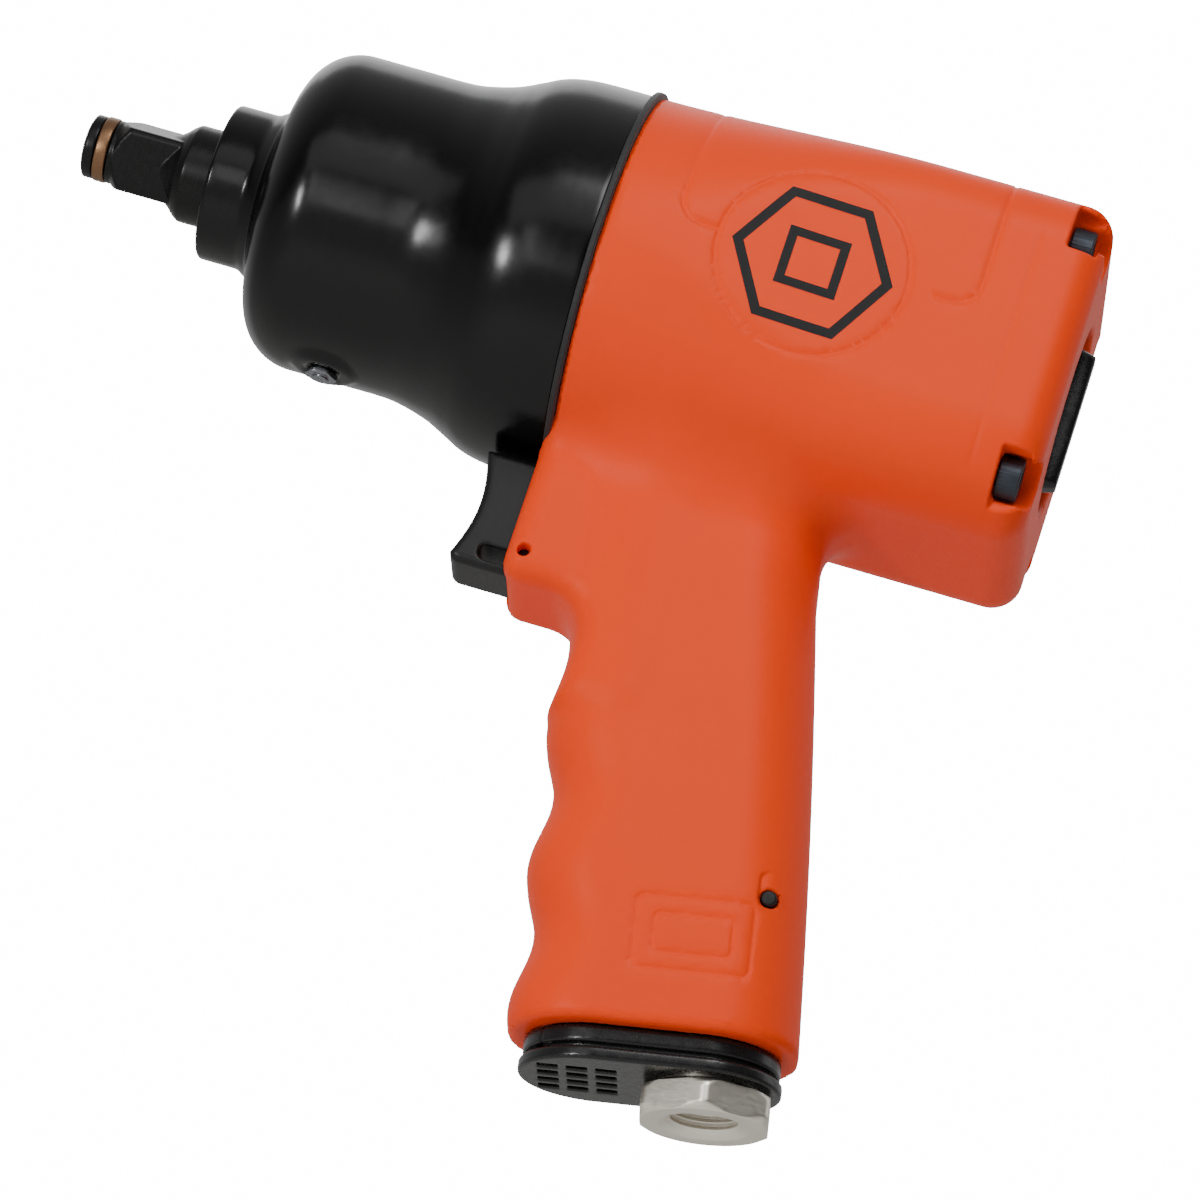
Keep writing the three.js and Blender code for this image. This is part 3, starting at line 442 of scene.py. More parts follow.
def finish_of(slot):
    """The material of a slot, made the first time that it is asked for."""
    if slot not in MADE:
        name, first, second, settings = FINISHES[slot]
        base = getattr(bpy.context.scene.wrench_colours, slot, linear(first))
        MADE[slot] = finish_material(name, base, linear(second), **settings)
    return MADE[slot]


def part(name, points, faces, body, slot, *nodes, finish=None):
    """Makes a piece from points on the motor line's own X, gives it its finish and slot, lets it
    ride on its body and stand for its CAD nodes."""
    piece = make_mesh(name, moved(points, NOSE), faces)
    piece.data.materials.append(finish_of(finish or slot))
    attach(piece, body)
    if nodes:
        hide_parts(*nodes)
    return piece


# ---- the moulded body --------------------------------------------------------------------------
def grip_place(x, z):
    """How far behind (u) and above (up) the middle of the grip's foot a point stands."""
    dx, dz = x - GRIP_FOOT[0], z - GRIP_FOOT[2]
    c, s = math.cos(LEAN), math.sin(LEAN)
    return dx * c + dz * s, dz * c - dx * s


def barrel_section(x, z):
    """Half width, half height and corner radius of the barrel at x: the round joint goes over into
    a rounded square along 0.62 of the length."""
    blend = ramp((x - BODY_FRONT) / (0.62 * (BODY_END - BODY_FRONT)))
    width = JOINT_R + (HALF_WIDTH - JOINT_R) * blend
    height = JOINT_R + (HALF_HEIGHT - JOINT_R) * blend
    return width, height, JOINT_R + (np.where(z > 0, TOP_CORNER, LOW_CORNER) - JOINT_R) * blend


def barrel_field(x, y, z):
    """The barrel's section carried from the joint to the rear face, whose edge is round."""
    width, height, corner = barrel_section(x, z)
    across = rounded_box(y, z, width, height, corner)
    return both(both(across, x - BODY_END, 6.2), BODY_FRONT - x, 0.5)


def grip_field(x, y, z):
    """A rounded section along the leaned grip. Its front has finger hollows, a cosine along the
    grip, its back is slightly bowed, and its foot has a small round edge."""
    u, up = grip_place(x, z)
    low = np.minimum(up, 76)
    front = -26.4 + 0.0174 * low - FINGER_DEPTH * np.cos(2 * np.pi * (low - 4) / FINGER_PITCH)
    low = np.minimum(up, 90)
    back = 27.3 - 0.065 * low + 0.6 * np.sin(np.pi * low / 90)
    half = 18 - 0.9 * np.clip(up / 60, -0.1, 1)
    across = rounded_box(u - (front + back) / 2, y, (back - front) / 2, half, half - 2.5)
    return np.maximum(both(across, -up, 1.4), up - GRIP_TOP)


def trigger_box_field(x, y, z):
    """The box behind the trigger: a leaning front, a round lower corner, and a web whose underside
    is a hollow arc down to the first finger. Its long edges are round."""
    front = 104 - x + 0.14 * np.maximum(z + 40, 0)
    arc = 9 - np.hypot(x - 113.5, z + 75.2)
    under = np.where(x < 113.5, -66.2 - z, np.where(z > -75.2, arc, 122.5 - x))
    side = both(front, under, 3.6)
    side = np.maximum(np.maximum(side, x - 138), np.maximum(-86 - z, z + 28))
    whole = both(side, np.abs(y) - 15, 4.5)
    joint = np.maximum(np.hypot(y, z) - 40.6, x - BODY_FRONT)
    return less(whole, joint, 0.3)


def outer_field(x, y, z):
    """Barrel, grip and trigger box joined, with hollow arcs where they meet."""
    body = either(barrel_field(x, y, z), grip_field(x, y, z), 10)
    return either(body, trigger_box_field(x, y, z), 4.5)


def pocket_field(x, y, z):
    """Screw pockets at the rear corners: a bore for each head, open to the rear, with a window to
    the side, and the pin holes through the trigger box and the grip."""
    ay, az = np.abs(y), np.abs(z)
    from_bolt = np.hypot(ay - BOLT_Y, az - BOLT_Z)
    head_bore = np.maximum(from_bolt - 4.85, HEAD_SEAT - x)
    window = both(both(slab(x, HEAD_SEAT - 0.2, 195.7), slab(az, 20.9, 31.4), 0.7), 25.5 - ay, 0.3)
    found = np.minimum(head_bore, window)
    u, up = grip_place(x, z)
    grip_pin = np.hypot(u - GRIP_PIN[0], up - GRIP_PIN[1]) - 1.75
    notch = np.maximum(rounded_box(u - GRIP_PIN[0] - 2.2, up - GRIP_PIN[1] - 1.6, 4.2, 3.4, 1.6),
                       15.9 - ay - 0.12 * np.maximum(u - 14, 0))
    found = np.minimum(found, np.minimum(grip_pin, notch))
    return np.minimum(found, np.hypot(x - PIN_X, z - PIN_Z) - 1.3)


def hollow_field(x, y, z):
    """The bores and pockets that hold the other pieces."""
    r = np.hypot(y, z)
    # the bore opens in a short cone at its mouth
    cone = np.clip(31.4 - (x - BODY_FRONT - 1), MOTOR_BORE, 31.4)
    bore = np.maximum(r - np.where(x < BODY_FRONT + 2.4, cone, MOTOR_BORE), x - MOTOR_END)
    found = np.minimum(bore, np.maximum(r - 5.1, 170 - x))
    found = np.minimum(found, np.maximum(r - 18.6, 191.8 - x))
    trigger_pocket = np.maximum(np.maximum(slab(x, 95, 121), np.abs(y) - 7.7), slab(z, -64.7, -40.2))
    valve_bore = np.maximum(np.hypot(y, z - VALVE_Z) - 7.4, slab(x, 119, 160))
    found = np.minimum(found, np.minimum(trigger_pocket, valve_bore))
    u, up = grip_place(x, z)
    foot = np.maximum(np.hypot(np.maximum(np.abs(u) - 9.2, 0), y) - 13.4, up - 6)
    inlet = np.maximum(np.hypot(u - INLET_U, y) - 9.5, up - 30)
    silencer = np.maximum(np.maximum(slab(u, -17, -4), np.abs(y) - 11), slab(up, 4, 36))
    return np.minimum(found, np.minimum(foot, np.minimum(inlet, silencer)))


def line_depth(x, y, z):
    """How deep the moulded lines are cut at a point of the side walls: the panel that comes down
    from the top, the ring round the mark, the crease before the rear edge, and the nested outlines
    at the foot of the grip. Each is a shallow round-bottomed groove."""
    lines = bpy.context.scene.wrench_sizes
    half, deep = lines.groove_width / 2 / MM, lines.groove_depth / MM
    panel = rounded_box(x - 147.4, z - 103.5, 29.5, 100, 5)
    panel = np.where((z < 12) & (np.abs(x - 147.4) < 21), 9, panel)
    ring = np.where(np.abs(y) > 20, np.hypot(x - MARK_X, z - MARK_Z) - 18.6, 9)
    crease = np.where((z < 22) & (z > -26), x - 184.6, 9)
    u, up = grip_place(x, z)
    frame_line = rounded_box(u - 5.6, up - 17.8, 11, 7.1, 1.6)
    inner = rounded_box(u - 5.6, up - 17.8, 7.4, 3.8, 1.2)
    low = np.where((np.abs(y) > 9) & (up < 40), np.minimum(np.abs(frame_line), np.abs(inner)), 9)
    found = 0
    for distance, share in ((panel, 1.0), (ring, 1.0), (crease, 0.35), (low, 0.9)):
        t = np.clip(1 - (distance / half) ** 2, 0, 1)
        found = np.maximum(found, share * deep * t * t)
    return found


def body_field(x, y, z):
    """The outside without its pockets and bores."""
    solid = less(outer_field(x, y, z), pocket_field(x, y, z), 0.45)
    return less(solid, hollow_field(x, y, z), 0.6)


def body_with_lines(x, y, z):
    """The body with its skin let in by the depth of the moulded lines."""
    return body_field(x, y, z) + line_depth(x, y, z)


def near_detail(p, reach):
    """Where the body's skin needs smaller faces: by its lines and by the rims of its openings."""
    x, y, z = p.T
    outer = np.abs(outer_field(x, y, z))
    pockets, hollows = np.abs(pocket_field(x, y, z)), np.abs(hollow_field(x, y, z))
    rim = np.maximum(outer, np.minimum(pockets, hollows + 0.5))
    return (rim < reach) | ((line_depth(x, y, z) > 0) & (outer < 0.5))


class WRENCH_OT_body(bpy.types.Operator):
    """Makes the moulded body: barrel, grip and trigger box in one skin, with its pockets and lines"""

    bl_idname = "wrench.body"
    bl_label = "Moulded body"

    def execute(self, context):
        pitch = 1.25
        points, quads = skin(body_field, (102.0, -41.5, -151.5), (200.0, 41.5, 41.5), pitch)
        points = settle(body_field, points, 3, 0.6 * pitch)
        faces = triangles_of(points, quads)
        for longest, reach in ((0.8, 1.4), (0.5, 0.8)):
            points, faces = refine(
                points, faces, lambda p, length: (length > longest) & near_detail(p, reach))
            points = settle(body_with_lines, points, 2, 0.4)
        part("moulded_body", points, faces, "body", "orange_composite", "main_housing")
        return {"FINISHED"}


class WRENCH_OT_mark(bpy.types.Operator):
    """Prints a plain mark on the near side: a hexagon outline round a small square outline"""

    bl_idname = "wrench.mark"
    bl_label = "Printed mark"

    def execute(self, context):
        sizes = context.scene.wrench_sizes
        across = sizes.mark_size / MM / 2
        for name, sides, outer, inner, turn in (
                ("printed_hexagon", 6, across / math.cos(math.pi / 6), 0.86, 0),
                ("printed_square", 4, 0.44 * across * math.sqrt(2), 0.7, 45)):
            corner = np.radians(turn + np.arange(sides + 1) * 360 / sides)
            corners = np.stack([np.cos(corner), np.sin(corner)], 1)
            outline = dense(corners, 0.035)[:-1]
            # across the print: under the skin, inner edge, outer edge, under the skin again
            share = np.array([inner, inner, 1, 1]) * outer
            lift = np.array([-0.12, 0.05, 0.05, -0.12])
            x = MARK_X + outline[:, :1] * share
            z = MARK_Z + outline[:, 1:] * share
            width, height, round_ = barrel_section(x, z)
            over = np.maximum(np.abs(z) - height + round_, 0)
            y = -(width - round_ + np.sqrt(round_ ** 2 - over ** 2)) - lift
            points = np.stack([x, y, z], -1)
            faces = grid_faces(len(outline), 4, close_rows=True)
            part(name, points, faces, "body", "black_plastic", finish="print_ink").data.shade_flat()
        return {"FINISHED"}


# ---- the case and its fittings -----------------------------------------------------------------
def case_line():
    """The case from its front lip round the outside to the joint and back through the bore."""
    arc = np.radians(np.linspace(0, 90, 25))
    dome = np.stack([48.5 - DOME_CORNER * np.cos(arc),
                     DOME_R - DOME_CORNER + DOME_CORNER * np.sin(arc)], 1)
    waist = np.array([[62, DOME_R], [66, DOME_R], [70, 31.95], [74, 32.75], [78, 33.95], [82, 35.8],
                      [85.5, 37.5], [89, 38.45], [93, 38.9], [98, JOINT_R]])
    t = np.linspace(0, len(waist) - 1, 90)
    waist = np.stack([smooth_through(waist[:, k], t) for k in (0, 1)], 1)
    front = softened([[26.8, 10.8], [CASE_FRONT, 10.8], [CASE_FRONT, BOSS_R], [33.4, BOSS_R],
                      [36.2, 17.4], [37.5, DOME_R - DOME_CORNER]], 0.9, 6)
    back = softened([[102, JOINT_R], [CASE_END, JOINT_R], [CASE_END, 31.4], [92, 31.4],
                     [85, CASE_BORE], [47, CASE_BORE], [44.8, 27.1], [44.8, 12.3], [26.8, 12.3],
                     [26.8, 10.8]], 0.35, 3)
    outside = np.concatenate([front[:-1], dome, waist])
    return dense(np.concatenate([outside, back[:-1]]), 1.1, closed=True)


def smooth_through(values, t):
    """A cubic curve through evenly numbered values, its slope at each the mean of both sides."""
    padded = np.concatenate([values[:1], values, values[-1:]])
    slope = (padded[2:] - padded[:-2]) / 2
    i = np.clip(t.astype(int), 0, len(values) - 2)
    f = t - i
    a, b, ma, mb = values[i], values[i + 1], slope[i], slope[i + 1]
    return (a * (1 + 2 * f) + ma * f) * (1 - f) ** 2 + (b * (3 - 2 * f) - mb * (1 - f)) * f ** 2


class WRENCH_OT_case(bpy.types.Operator):
    """Makes the hammer case, its gasket and the grease fitting under it"""

    bl_idname = "wrench.case"
    bl_label = "Hammer case, gasket, grease fitting"

    def execute(self, context):
        points, faces = turned(case_line(), 224, closed=True)
        # The grease boss: near the fitting the outside is pushed down to a flat round pad.
        x, y, z = np.moveaxis(points, -1, 0)
        outside = np.hypot(y, z) > 30
        reach = ramp((7.4 - np.hypot(x - FITTING_X, y)) / 2.2) * outside * (z < 0)
        z = z + reach * np.minimum(0, -32.5 - z)
        # and inside it a blind hole for the fitting's thread
        hole = ramp((3.0 - np.hypot(x - FITTING_X, y)) / 0.8) * outside * (z < 0)
        z = z + hole * 2.2
        part("hammer_case_shell", np.stack([x, y, z], -1), faces, "body", "case_lacquer",
             "hammer_case")

        line = softened([[103.95, 31.4], [105.15, 31.4], [105.15, 40.1], [103.95, 40.1]], 0.25, 3,
                        closed=True)

        def tab(x, r, angle):
            flat = 41.2 / np.maximum(np.sin(angle), 0.1)
            lobe = ramp((3.4 - np.abs(r * np.cos(angle))) / 0.8) * (np.sin(angle) > 0)
            return np.where(r > 36, r + lobe * (np.minimum(flat, 42) - 40.1), r)

        points, faces = turned(line, 288, closed=True, radius=tab)
        part("joint_gasket", points, faces, "body", "rubber", "case_gasket")

        line = softened([[1, 0], [1, 2.5], [-2.9, 2.5], [-2.9, 3.2], [-3.75, 3.2], [-3.75, 1.7],
                         [-4.3, 1.7], [-4.3, 0.8], [-3.9, 0]], 0.18, 3)

        def six_flats(x, r, angle):
            hexagon = 2.9 / np.cos((angle + np.pi / 6) % (np.pi / 3) - np.pi / 6)
            return np.where(r > 2.8, np.minimum(r, hexagon), r)

        points, faces = turned(line, 72, radius=six_flats)
        points = moved(upright(points), FITTING_X, 0, -29.75)
        part("grease_button", points, faces, "body", "hardened_steel", "grease_fitting")
        return {"FINISHED"}


# ---- the drive ---------------------------------------------------------------------------------
def square_reach(angle, half, corner):
    """From the middle of a square to its edge, in the direction of an angle."""
    c, s = np.abs(np.cos(angle)), np.abs(np.sin(angle))
    big, small = np.maximum(c, s), np.minimum(c, s)
    inner = half - corner
    along = inner * (c + s)
    rounding = along + np.sqrt(np.maximum(along ** 2 - 2 * inner ** 2 + corner ** 2, 0))
    return np.where(small * half <= big * inner, half / big, rounding)


class WRENCH_OT_drive(bpy.types.Operator):
    """Makes the anvil with its square drive, and the friction ring in its groove"""

    bl_idname = "wrench.drive"
    bl_label = "Anvil and friction ring"

    def execute(self, context):
        half = context.scene.wrench_sizes.square / MM / 2
        # each jaw's end faces are steep because two stations stand close together there
        stations = (46, 50.99, 51, 66, 66.01, 68.99, 69, 84, 84.01, 86.6)
        line = softened(
            [[-1.7, 0], [-1.7, 3.4], [-2, 4.2], [-2, 5.0], [-1.4, 6.3], [0.5, 6.3], [0.5, 4.9], [3.3, 4.9],
             [3.3, 6.3], [4.4, 6.3], [14.2, 6.3], [15.6, 6.9], [16.8, 7.8], [18.0, 9.0], [19.2, 9.8],
             [25.8, 9.8], [25.8, 8.6], [46, 8.6], *([x, CORE_R] for x in stations),
             [86.6, 5.8], [91, 5.8], [91, 0]], 0.3, 3)
        line = dense(line, 0.45)

        def reach(x, r, angle):
            square = np.minimum(square_reach(angle, half, 1.15), 6.3 + (x - 4.4))
            squared = np.maximum(square, np.where(x > 14.2, r, 0))
            r = np.where((x > 4.4) & (x < 22), squared, r + 0 * angle)
            for low, high, side in ((51, 66, 1), (69, 84, -1)):
                rise = np.sin(angle) * side
                jaw = np.minimum(3.6 / np.maximum(np.abs(np.cos(angle)), 1e-6),
                                 JAW_REACH / np.maximum(rise, 1e-6))
                inside = (x >= low) & (x <= high) & (rise > 0)
                r = np.where(inside, np.maximum(r, np.minimum(jaw, 12.7)), r)
            return r

        points, faces = turned(line, 192, radius=reach)
        part("anvil_drive", turn_x(points, 30), faces, "drive", "black_oxide_steel", "anvil")

        # A flat-sided spring ring with a gap at the top: a rounded section carried round the axis.
        section = softened([[0.7, 5.6], [3.1, 5.6], [3.1, 6.5], [0.7, 6.5]], 0.35, 3, closed=True)
        middle = section.mean(0)
        angle = np.radians(np.linspace(94.5, 445.5, 120))[:, None]
        shrink = np.ones_like(angle)
        shrink[[0, -1]] = 0.001
        shrink[[1, -2]] = 0.9
        angle[0], angle[-1] = angle[1], angle[-2]
        x = middle[0] + (section[None, :, 0] - middle[0]) * shrink
        r = middle[1] + (section[None, :, 1] - middle[1]) * shrink
        points = np.stack([x, r * np.cos(angle), r * np.sin(angle)], -1)
        part("friction_ring_wire", points, grid_faces(len(angle), len(section)), "drive", "bronze",
             "friction_ring")
        return {"FINISHED"}


# ---- rear dial and screws ----------------------------------------------------------------------
class WRENCH_OT_dial(bpy.types.Operator):
    """Makes the direction and power dial: a disc with a finger bar, a pointer and plain ticks"""

    bl_idname = "wrench.dial"
    bl_label = "Rear dial"

    def execute(self, context):
        front = 195.8
        face = np.stack([np.full(90, front), np.linspace(0, 16.9, 90)], 1)
        rim = softened([[front, 16.9], [front, 17.7], [192.4, 17.7], [192.4, 4.7], [178.8, 4.7],
                        [178.8, 0]], 0.6, 4)
        line = dense(np.concatenate([face[:-1], rim]), 0.9)
        points, faces = turned(line, 224)
        x, y, z = np.moveaxis(points, -1, 0)
        bar = rounded_box(y, z, 3.2, 15.3, 2.2)
        bar = np.maximum(bar, np.hypot(y, z) - 15.4)
        pointer = both(both(10.2 - z, np.abs(y) - 4.4 + (z - 10) * 1.05, 0.3), np.abs(y) - 4.6, 0.2)
        height = 3.6 * ramp(-bar / 1.2) + 0.7 * ramp(-pointer / 0.5) * (bar > 0)
        angle, r = np.degrees(np.arctan2(y, z)), np.hypot(y, z)
        for step, mark in enumerate((40, 62, 84, -40, -62, -84)):
            wide = 0.35 + 0.22 * (step % 3)
            across = np.abs(angle - mark) * np.pi / 180 * r - wide
            tick = np.maximum(across, np.abs(r - 14.4) - 1.6)
            height = np.maximum(height, 0.35 * ramp(-tick / 0.3))
        x = x + np.where(x > front - 0.1, height, 0)
        part("rear_dial", np.stack([x, y, z], -1), faces, "dial", "black_plastic",
             "direction_power_dial")
        return {"FINISHED"}


class WRENCH_OT_screws(bpy.types.Operator):
    """Makes the four socket-head screws that hold the case to the body"""

    bl_idname = "wrench.screws"
    bl_label = "Housing screws"

    def execute(self, context):
        line = dense(softened(
            [[95, 0], [95, 1.9], [95.6, 2.3], [190.1, 2.3], [190.1, 4.25], [194.4, 4.25],
             [194.4, 2.3], [192, 2.15], [192, 0]], 0.28, 3), 6.0)

        def head(x, r, angle):
            knurl = 0.05 * np.cos(36 * angle) * (r > 4.1) * (x < 193.9)
            hexagon = 1.98 / np.cos(angle % (np.pi / 3) - np.pi / 6)
            socket = (x > 191.9) & (r < 2.32)
            return np.where(socket, np.minimum(r, 2.3) * hexagon / 2.3, r + knurl)

        for number, (side, level) in enumerate(((-1, 1), (1, 1), (-1, -1), (1, -1)), 1):
            points, faces = turned(line, 144, radius=head)
            points = moved(turn_x(points, 17 * number), 0, side * BOLT_Y, level * BOLT_Z)
            part(f"socket_screw_{number}", points, faces, "body", "screw_steel",
                 f"housing_screw_{number}")
        return {"FINISHED"}


# ---- trigger -----------------------------------------------------------------------------------
def trigger_field(x, y, z):
    """The trigger's side view: a hollow finger face that ends in a round toe, a flat top and foot
    with all long edges rounded, and a slot for the cross pin."""
    level = np.clip((z + 62.5) / 21.9, 0, 1)
    bow = 2.25 * np.sin(np.pi * level) ** 0.9
    front = 92.9 + 0.5 * level + bow - x
    side = both(both(front, -64.2 - z, 2.1), z + 40.6, 0.9)
    side = both(side, x - 111.6, 0.5)
    whole = both(side, np.abs(y) - 7.2, 1.5)
    slot = rounded_box(x - 103.7, z - PIN_Z, 5.5, 1.6, 1.6)
    stem = np.maximum(np.hypot(y, z - VALVE_Z) - 2.6, 104 - x)
    return less(less(whole, slot, 0.35), stem, 0.2)


class WRENCH_OT_trigger(bpy.types.Operator):
    """Makes the trigger with its hollow finger face and the long slot for its pin"""

    bl_idname = "wrench.trigger"
    bl_label = "Trigger"

    def execute(self, context):
        points, quads = skin(trigger_field, (91.0, -8.0, -66.0), (113.0, 8.0, -39.0), 0.5)
        points = settle(trigger_field, points, 4, 0.3)
        part("trigger_lever", points, triangles_of(points, quads), "trigger", "trigger_plastic",
             "trigger")
        return {"FINISHED"}


# ---- foot of the grip --------------------------------------------------------------------------
def foot_field(u, y, up):
    """Two stepped bands with a groove between, a grid of slots in front and the inlet's hole."""
    def oval(depth, width):
        return np.hypot(np.maximum(np.abs(u) - (depth - width), 0), y) - width

    upper = both(oval(24.2, 14.2), slab(up, -3.6, -0.3), 0.55)
    neck = np.maximum(oval(23.0, 13.0), slab(up, -4.9, -3.0))
    lower = both(oval(24.8, 14.6), slab(up, -7.0, -4.5), 0.6)
    whole = np.minimum(np.minimum(upper, neck), lower)
    inside = np.maximum(np.maximum(slab(u, -20.5, -1.5), np.abs(y) - 9.5), -5.8 - up)
    hole = np.hypot(u - INLET_U, y) - 10
    slots = np.full(np.broadcast(u, y, up).shape, 99.0)
    for column in range(3):
        for row in range(4):
            a, b = u + 19 - 5.5 * column, y - (row - 1.5) * 4.4
            slots = np.minimum(slots, rounded_box(a, b, 1.9, 1.3, 0.4))
    return less(less(less(whole, inside, 0.1), hole, 0.3), slots, 0.35)


def inlet_line():
    """The inlet from the shank's end down the outside to the hexagon's face, and up the thread."""
    pitch, crest = 1.41, 0.7
    turns = np.arange(0, 13.5, pitch / 8)
    thread = np.stack([-12.9 + turns, 6.75 + crest / 2 * np.cos(2 * np.pi * turns / pitch)], 1)
    outer = softened([[26, 4.6], [26, 9.2], [21.6, 9.2], [21.6, 7.9], [19, 7.9], [19, 9.2], [-8, 9.2],
                      [-8, 13.9], [-13.8, 13.9], [-13.8, 8.6], [-12.9, 7.1]], 0.3, 4)
    inner = softened([[0.6, 6.5], [8.5, 6.5], [8.5, 4.6], [26, 4.6]], 0.2, 3)
    return dense(np.concatenate([outer, thread, inner[:-1]]), 0.7, closed=True)


class WRENCH_OT_foot(bpy.types.Operator):
    """Makes the exhaust deflector under the grip and the hexagon air inlet in it"""

    bl_idname = "wrench.foot"
    bl_label = "Exhaust deflector and air inlet"

    def execute(self, context):
        points, quads = skin(foot_field, (-26.0, -16.0, -8.0), (26.0, 16.0, 0.6), 0.42)
        points = settle(foot_field, points, 4, 0.25)
        part("exhaust_foot", on_grip(points), triangles_of(points, quads), "body", "black_plastic",
             "exhaust_deflector")

        def six_flats(x, r, angle):
            # angle 0 is across the grip once the piece is stood up, so a corner is at each side
            turn = angle % (np.pi / 3) - np.pi / 6
            hexagon = np.minimum(12.0 / np.cos(turn), 13.55)
            chamfer = np.minimum(11.9 + 1.75 * np.maximum(x + 13.8, 0),
                                 12.6 + 1.75 * np.maximum(-8 - x, 0))
            return np.where(r > 10.5, np.minimum(hexagon, np.minimum(chamfer, r)), r)

        points, faces = turned(inlet_line(), 192, closed=True, radius=six_flats)
        part("inlet_hexagon", on_grip(moved(upright(points), INLET_U)), faces, "body",
             "nickel_plate", "air_inlet")
        return {"FINISHED"}


class WRENCH_OT_pins(bpy.types.Operator):
    """Makes the two cross pins: rods with chamfered ends, one through the trigger box and
    one through the grip, near black as a painted shade of their holes"""

    bl_idname = "wrench.pins"
    bl_label = "Cross pins"

    def execute(self, context):
        for name, node, half, r, where in (
                ("trigger_cross_pin", "trigger_pin", 11.5, 1.2, (PIN_X, 0, PIN_Z)),
                ("grip_cross_pin", "grip_pin", 16.0, 1.5,
                 on_grip(np.array([GRIP_PIN[0], 0, GRIP_PIN[1]])))):
            line = dense(softened([[-half, 0], [-half, r - 0.3], [0.3 - half, r], [half - 0.3, r],
                                   [half, r - 0.3], [half, 0]], 0.1, 2), 2.0)
            points, faces = turned(line, 40)
            x, y, z = np.moveaxis(points, -1, 0)
            points = moved(np.stack([y, x, z], -1), *where)
            # the pins take a near-black finish instead of their slot's steel, a painted shade of the holes
            # they sit in
            part(name, points, faces, "body", "hardened_steel", node, finish="pin_painted_shade")
        return {"FINISHED"}


class WRENCH_OT_inside(bpy.types.Operator):
    """Gives every piece of the frame that still shows the finish of its own slot"""

    bl_idname = "wrench.inside"
    bl_label = "Motor, hammers, valve: finishes"

    def execute(self, context):
        slots = {row["node"]: row["material_slot"] for row in frame["record"]["subparts"]}
        for name, piece in frame["nodes"].items():
            if piece.hide_render:
                continue
            piece.data.materials.clear()
            piece.data.materials.append(finish_of(slots[name]))
        return {"FINISHED"}


# ---- the stage ---------------------------------------------------------------------------------
def standing(at, back, up):
    """The matrix of a camera or lamp at a point: it looks away from `back`, its top towards `up`."""
    side = up.cross(back).normalized()
    matrix = Matrix((side, back.cross(side), back)).transposed().to_4x4()
    matrix.translation = at
    return matrix


class WRENCH_OT_stage(bpy.types.Operator):
    """Sets the camera, the soft lights, the pale surroundings and the floor"""

    bl_idname = "wrench.stage"
    bl_label = "Camera, lights, floor"

    def execute(self, context):
        stage = context.scene.wrench_stage
        turn, tip, roll = stage.azimuth, stage.elevation, stage.roll
        back = Vector((math.sin(turn) * math.cos(tip), -math.cos(turn) * math.cos(tip), math.sin(tip)))
        level = Vector((math.cos(turn), math.sin(turn), 0))
        steep = back.cross(level)
        right = level * math.cos(roll) + steep * math.sin(roll)
        up = steep * math.cos(roll) - level * math.sin(roll)
        target = Vector((100 * MM, 0, -50 * MM))
        eye = target + back * stage.distance
        aim = target + right * stage.aside + up * stage.rise

        data = bpy.data.cameras.new("camera")
        data.lens, data.sensor_width = stage.lens, 36
        data.clip_start, data.clip_end = 0.05, 50
        camera = place("camera", data)
        camera.matrix_world = standing(eye, (eye - aim).normalized(), up)
        context.scene.camera = camera

        # name, direction as right/up/back shares, distance, width and height in metres, radiance
        for name, (a, b, c), away, wide, high, radiance in (
                ("key", (0.27, 0.76, 0.59), 1.2, 0.45, 0.5, 9.0),
                ("window", (-0.57, 0.26, 0.78), 1.0, 0.07, 0.18, 95.0),
                ("dome_strip", (-0.28, 0.34, 0.9), 1.0, 0.1, 0.36, 4.5),
                ("overhead", (-0.1, 0.72, 0.68), 1.1, 1.0, 0.5, 1.2),
                ("behind", (0.1, 0.5, -0.86), 1.5, 1.4, 1.0, 1.3),
                ("rear_left", (0.95, 0.2, -0.3), 1.5, 0.6, 1.2, 0.8)):
            toward = (right * a + up * b + back * c).normalized()
            light = bpy.data.lights.new(name, "AREA")
            light.shape, light.size, light.size_y = "RECTANGLE", wide, high
            light.energy = radiance * math.pi * wide * high
            lamp = place(name, light)
            lamp.matrix_world = standing(target + toward * away, toward, up)
            lamp.visible_camera = False

        world = bpy.data.worlds.new("pale_surroundings")
        world.use_nodes = True
        tree = world.node_tree
        tree.nodes.clear()
        way = add(tree, "ShaderNodeTexCoord").outputs["Generated"]
        # dim towards a point below the camera and brighter on the far side; the camera sees white
        near = tuple((back - up * 0.5).normalized())
        facing = add(tree, "ShaderNodeVectorMath", {0: way, 1: near}, operation="DOT_PRODUCT")
        dim = add(tree, "ShaderNodeMapRange", {
            "Value": facing.outputs["Value"], "From Min": -0.8, "From Max": 0.4,
            "To Min": stage.far_glow, "To Max": stage.near_glow}, interpolation_type="SMOOTHSTEP")
        glow = add(tree, "ShaderNodeBackground", {"Color": (1, 1, 1, 1),
                                                  "Strength": dim.outputs["Result"]})
        white = add(tree, "ShaderNodeBackground", {"Color": (1, 1, 1, 1), "Strength": 16.0})
        seen = add(tree, "ShaderNodeLightPath").outputs["Is Camera Ray"]
        mix = add(tree, "ShaderNodeMixShader", {0: seen, 1: glow.outputs[0], 2: white.outputs[0]})
        add(tree, "ShaderNodeOutputWorld", {"Surface": mix.outputs[0]})
        context.scene.world = world

        half, height = 4000.0 * MM, -760.0 * MM
        corners = [(a * half, b * half, height) for a, b in ((-1, -1), (1, -1), (1, 1), (-1, 1))]
        mesh = bpy.data.meshes.new("floor")
        mesh.from_pydata(corners, [], [(0, 1, 2, 3)])
        floor = place("floor", mesh)
        mesh.materials.append(finish_material(
            "painted_plaster_floor", linear("#F2F1EE"), linear("#EDECE9"), rough=(0.7, 0.8),
            grain=6, grain_depth=0.05, mottle=300))
        return {"FINISHED"}


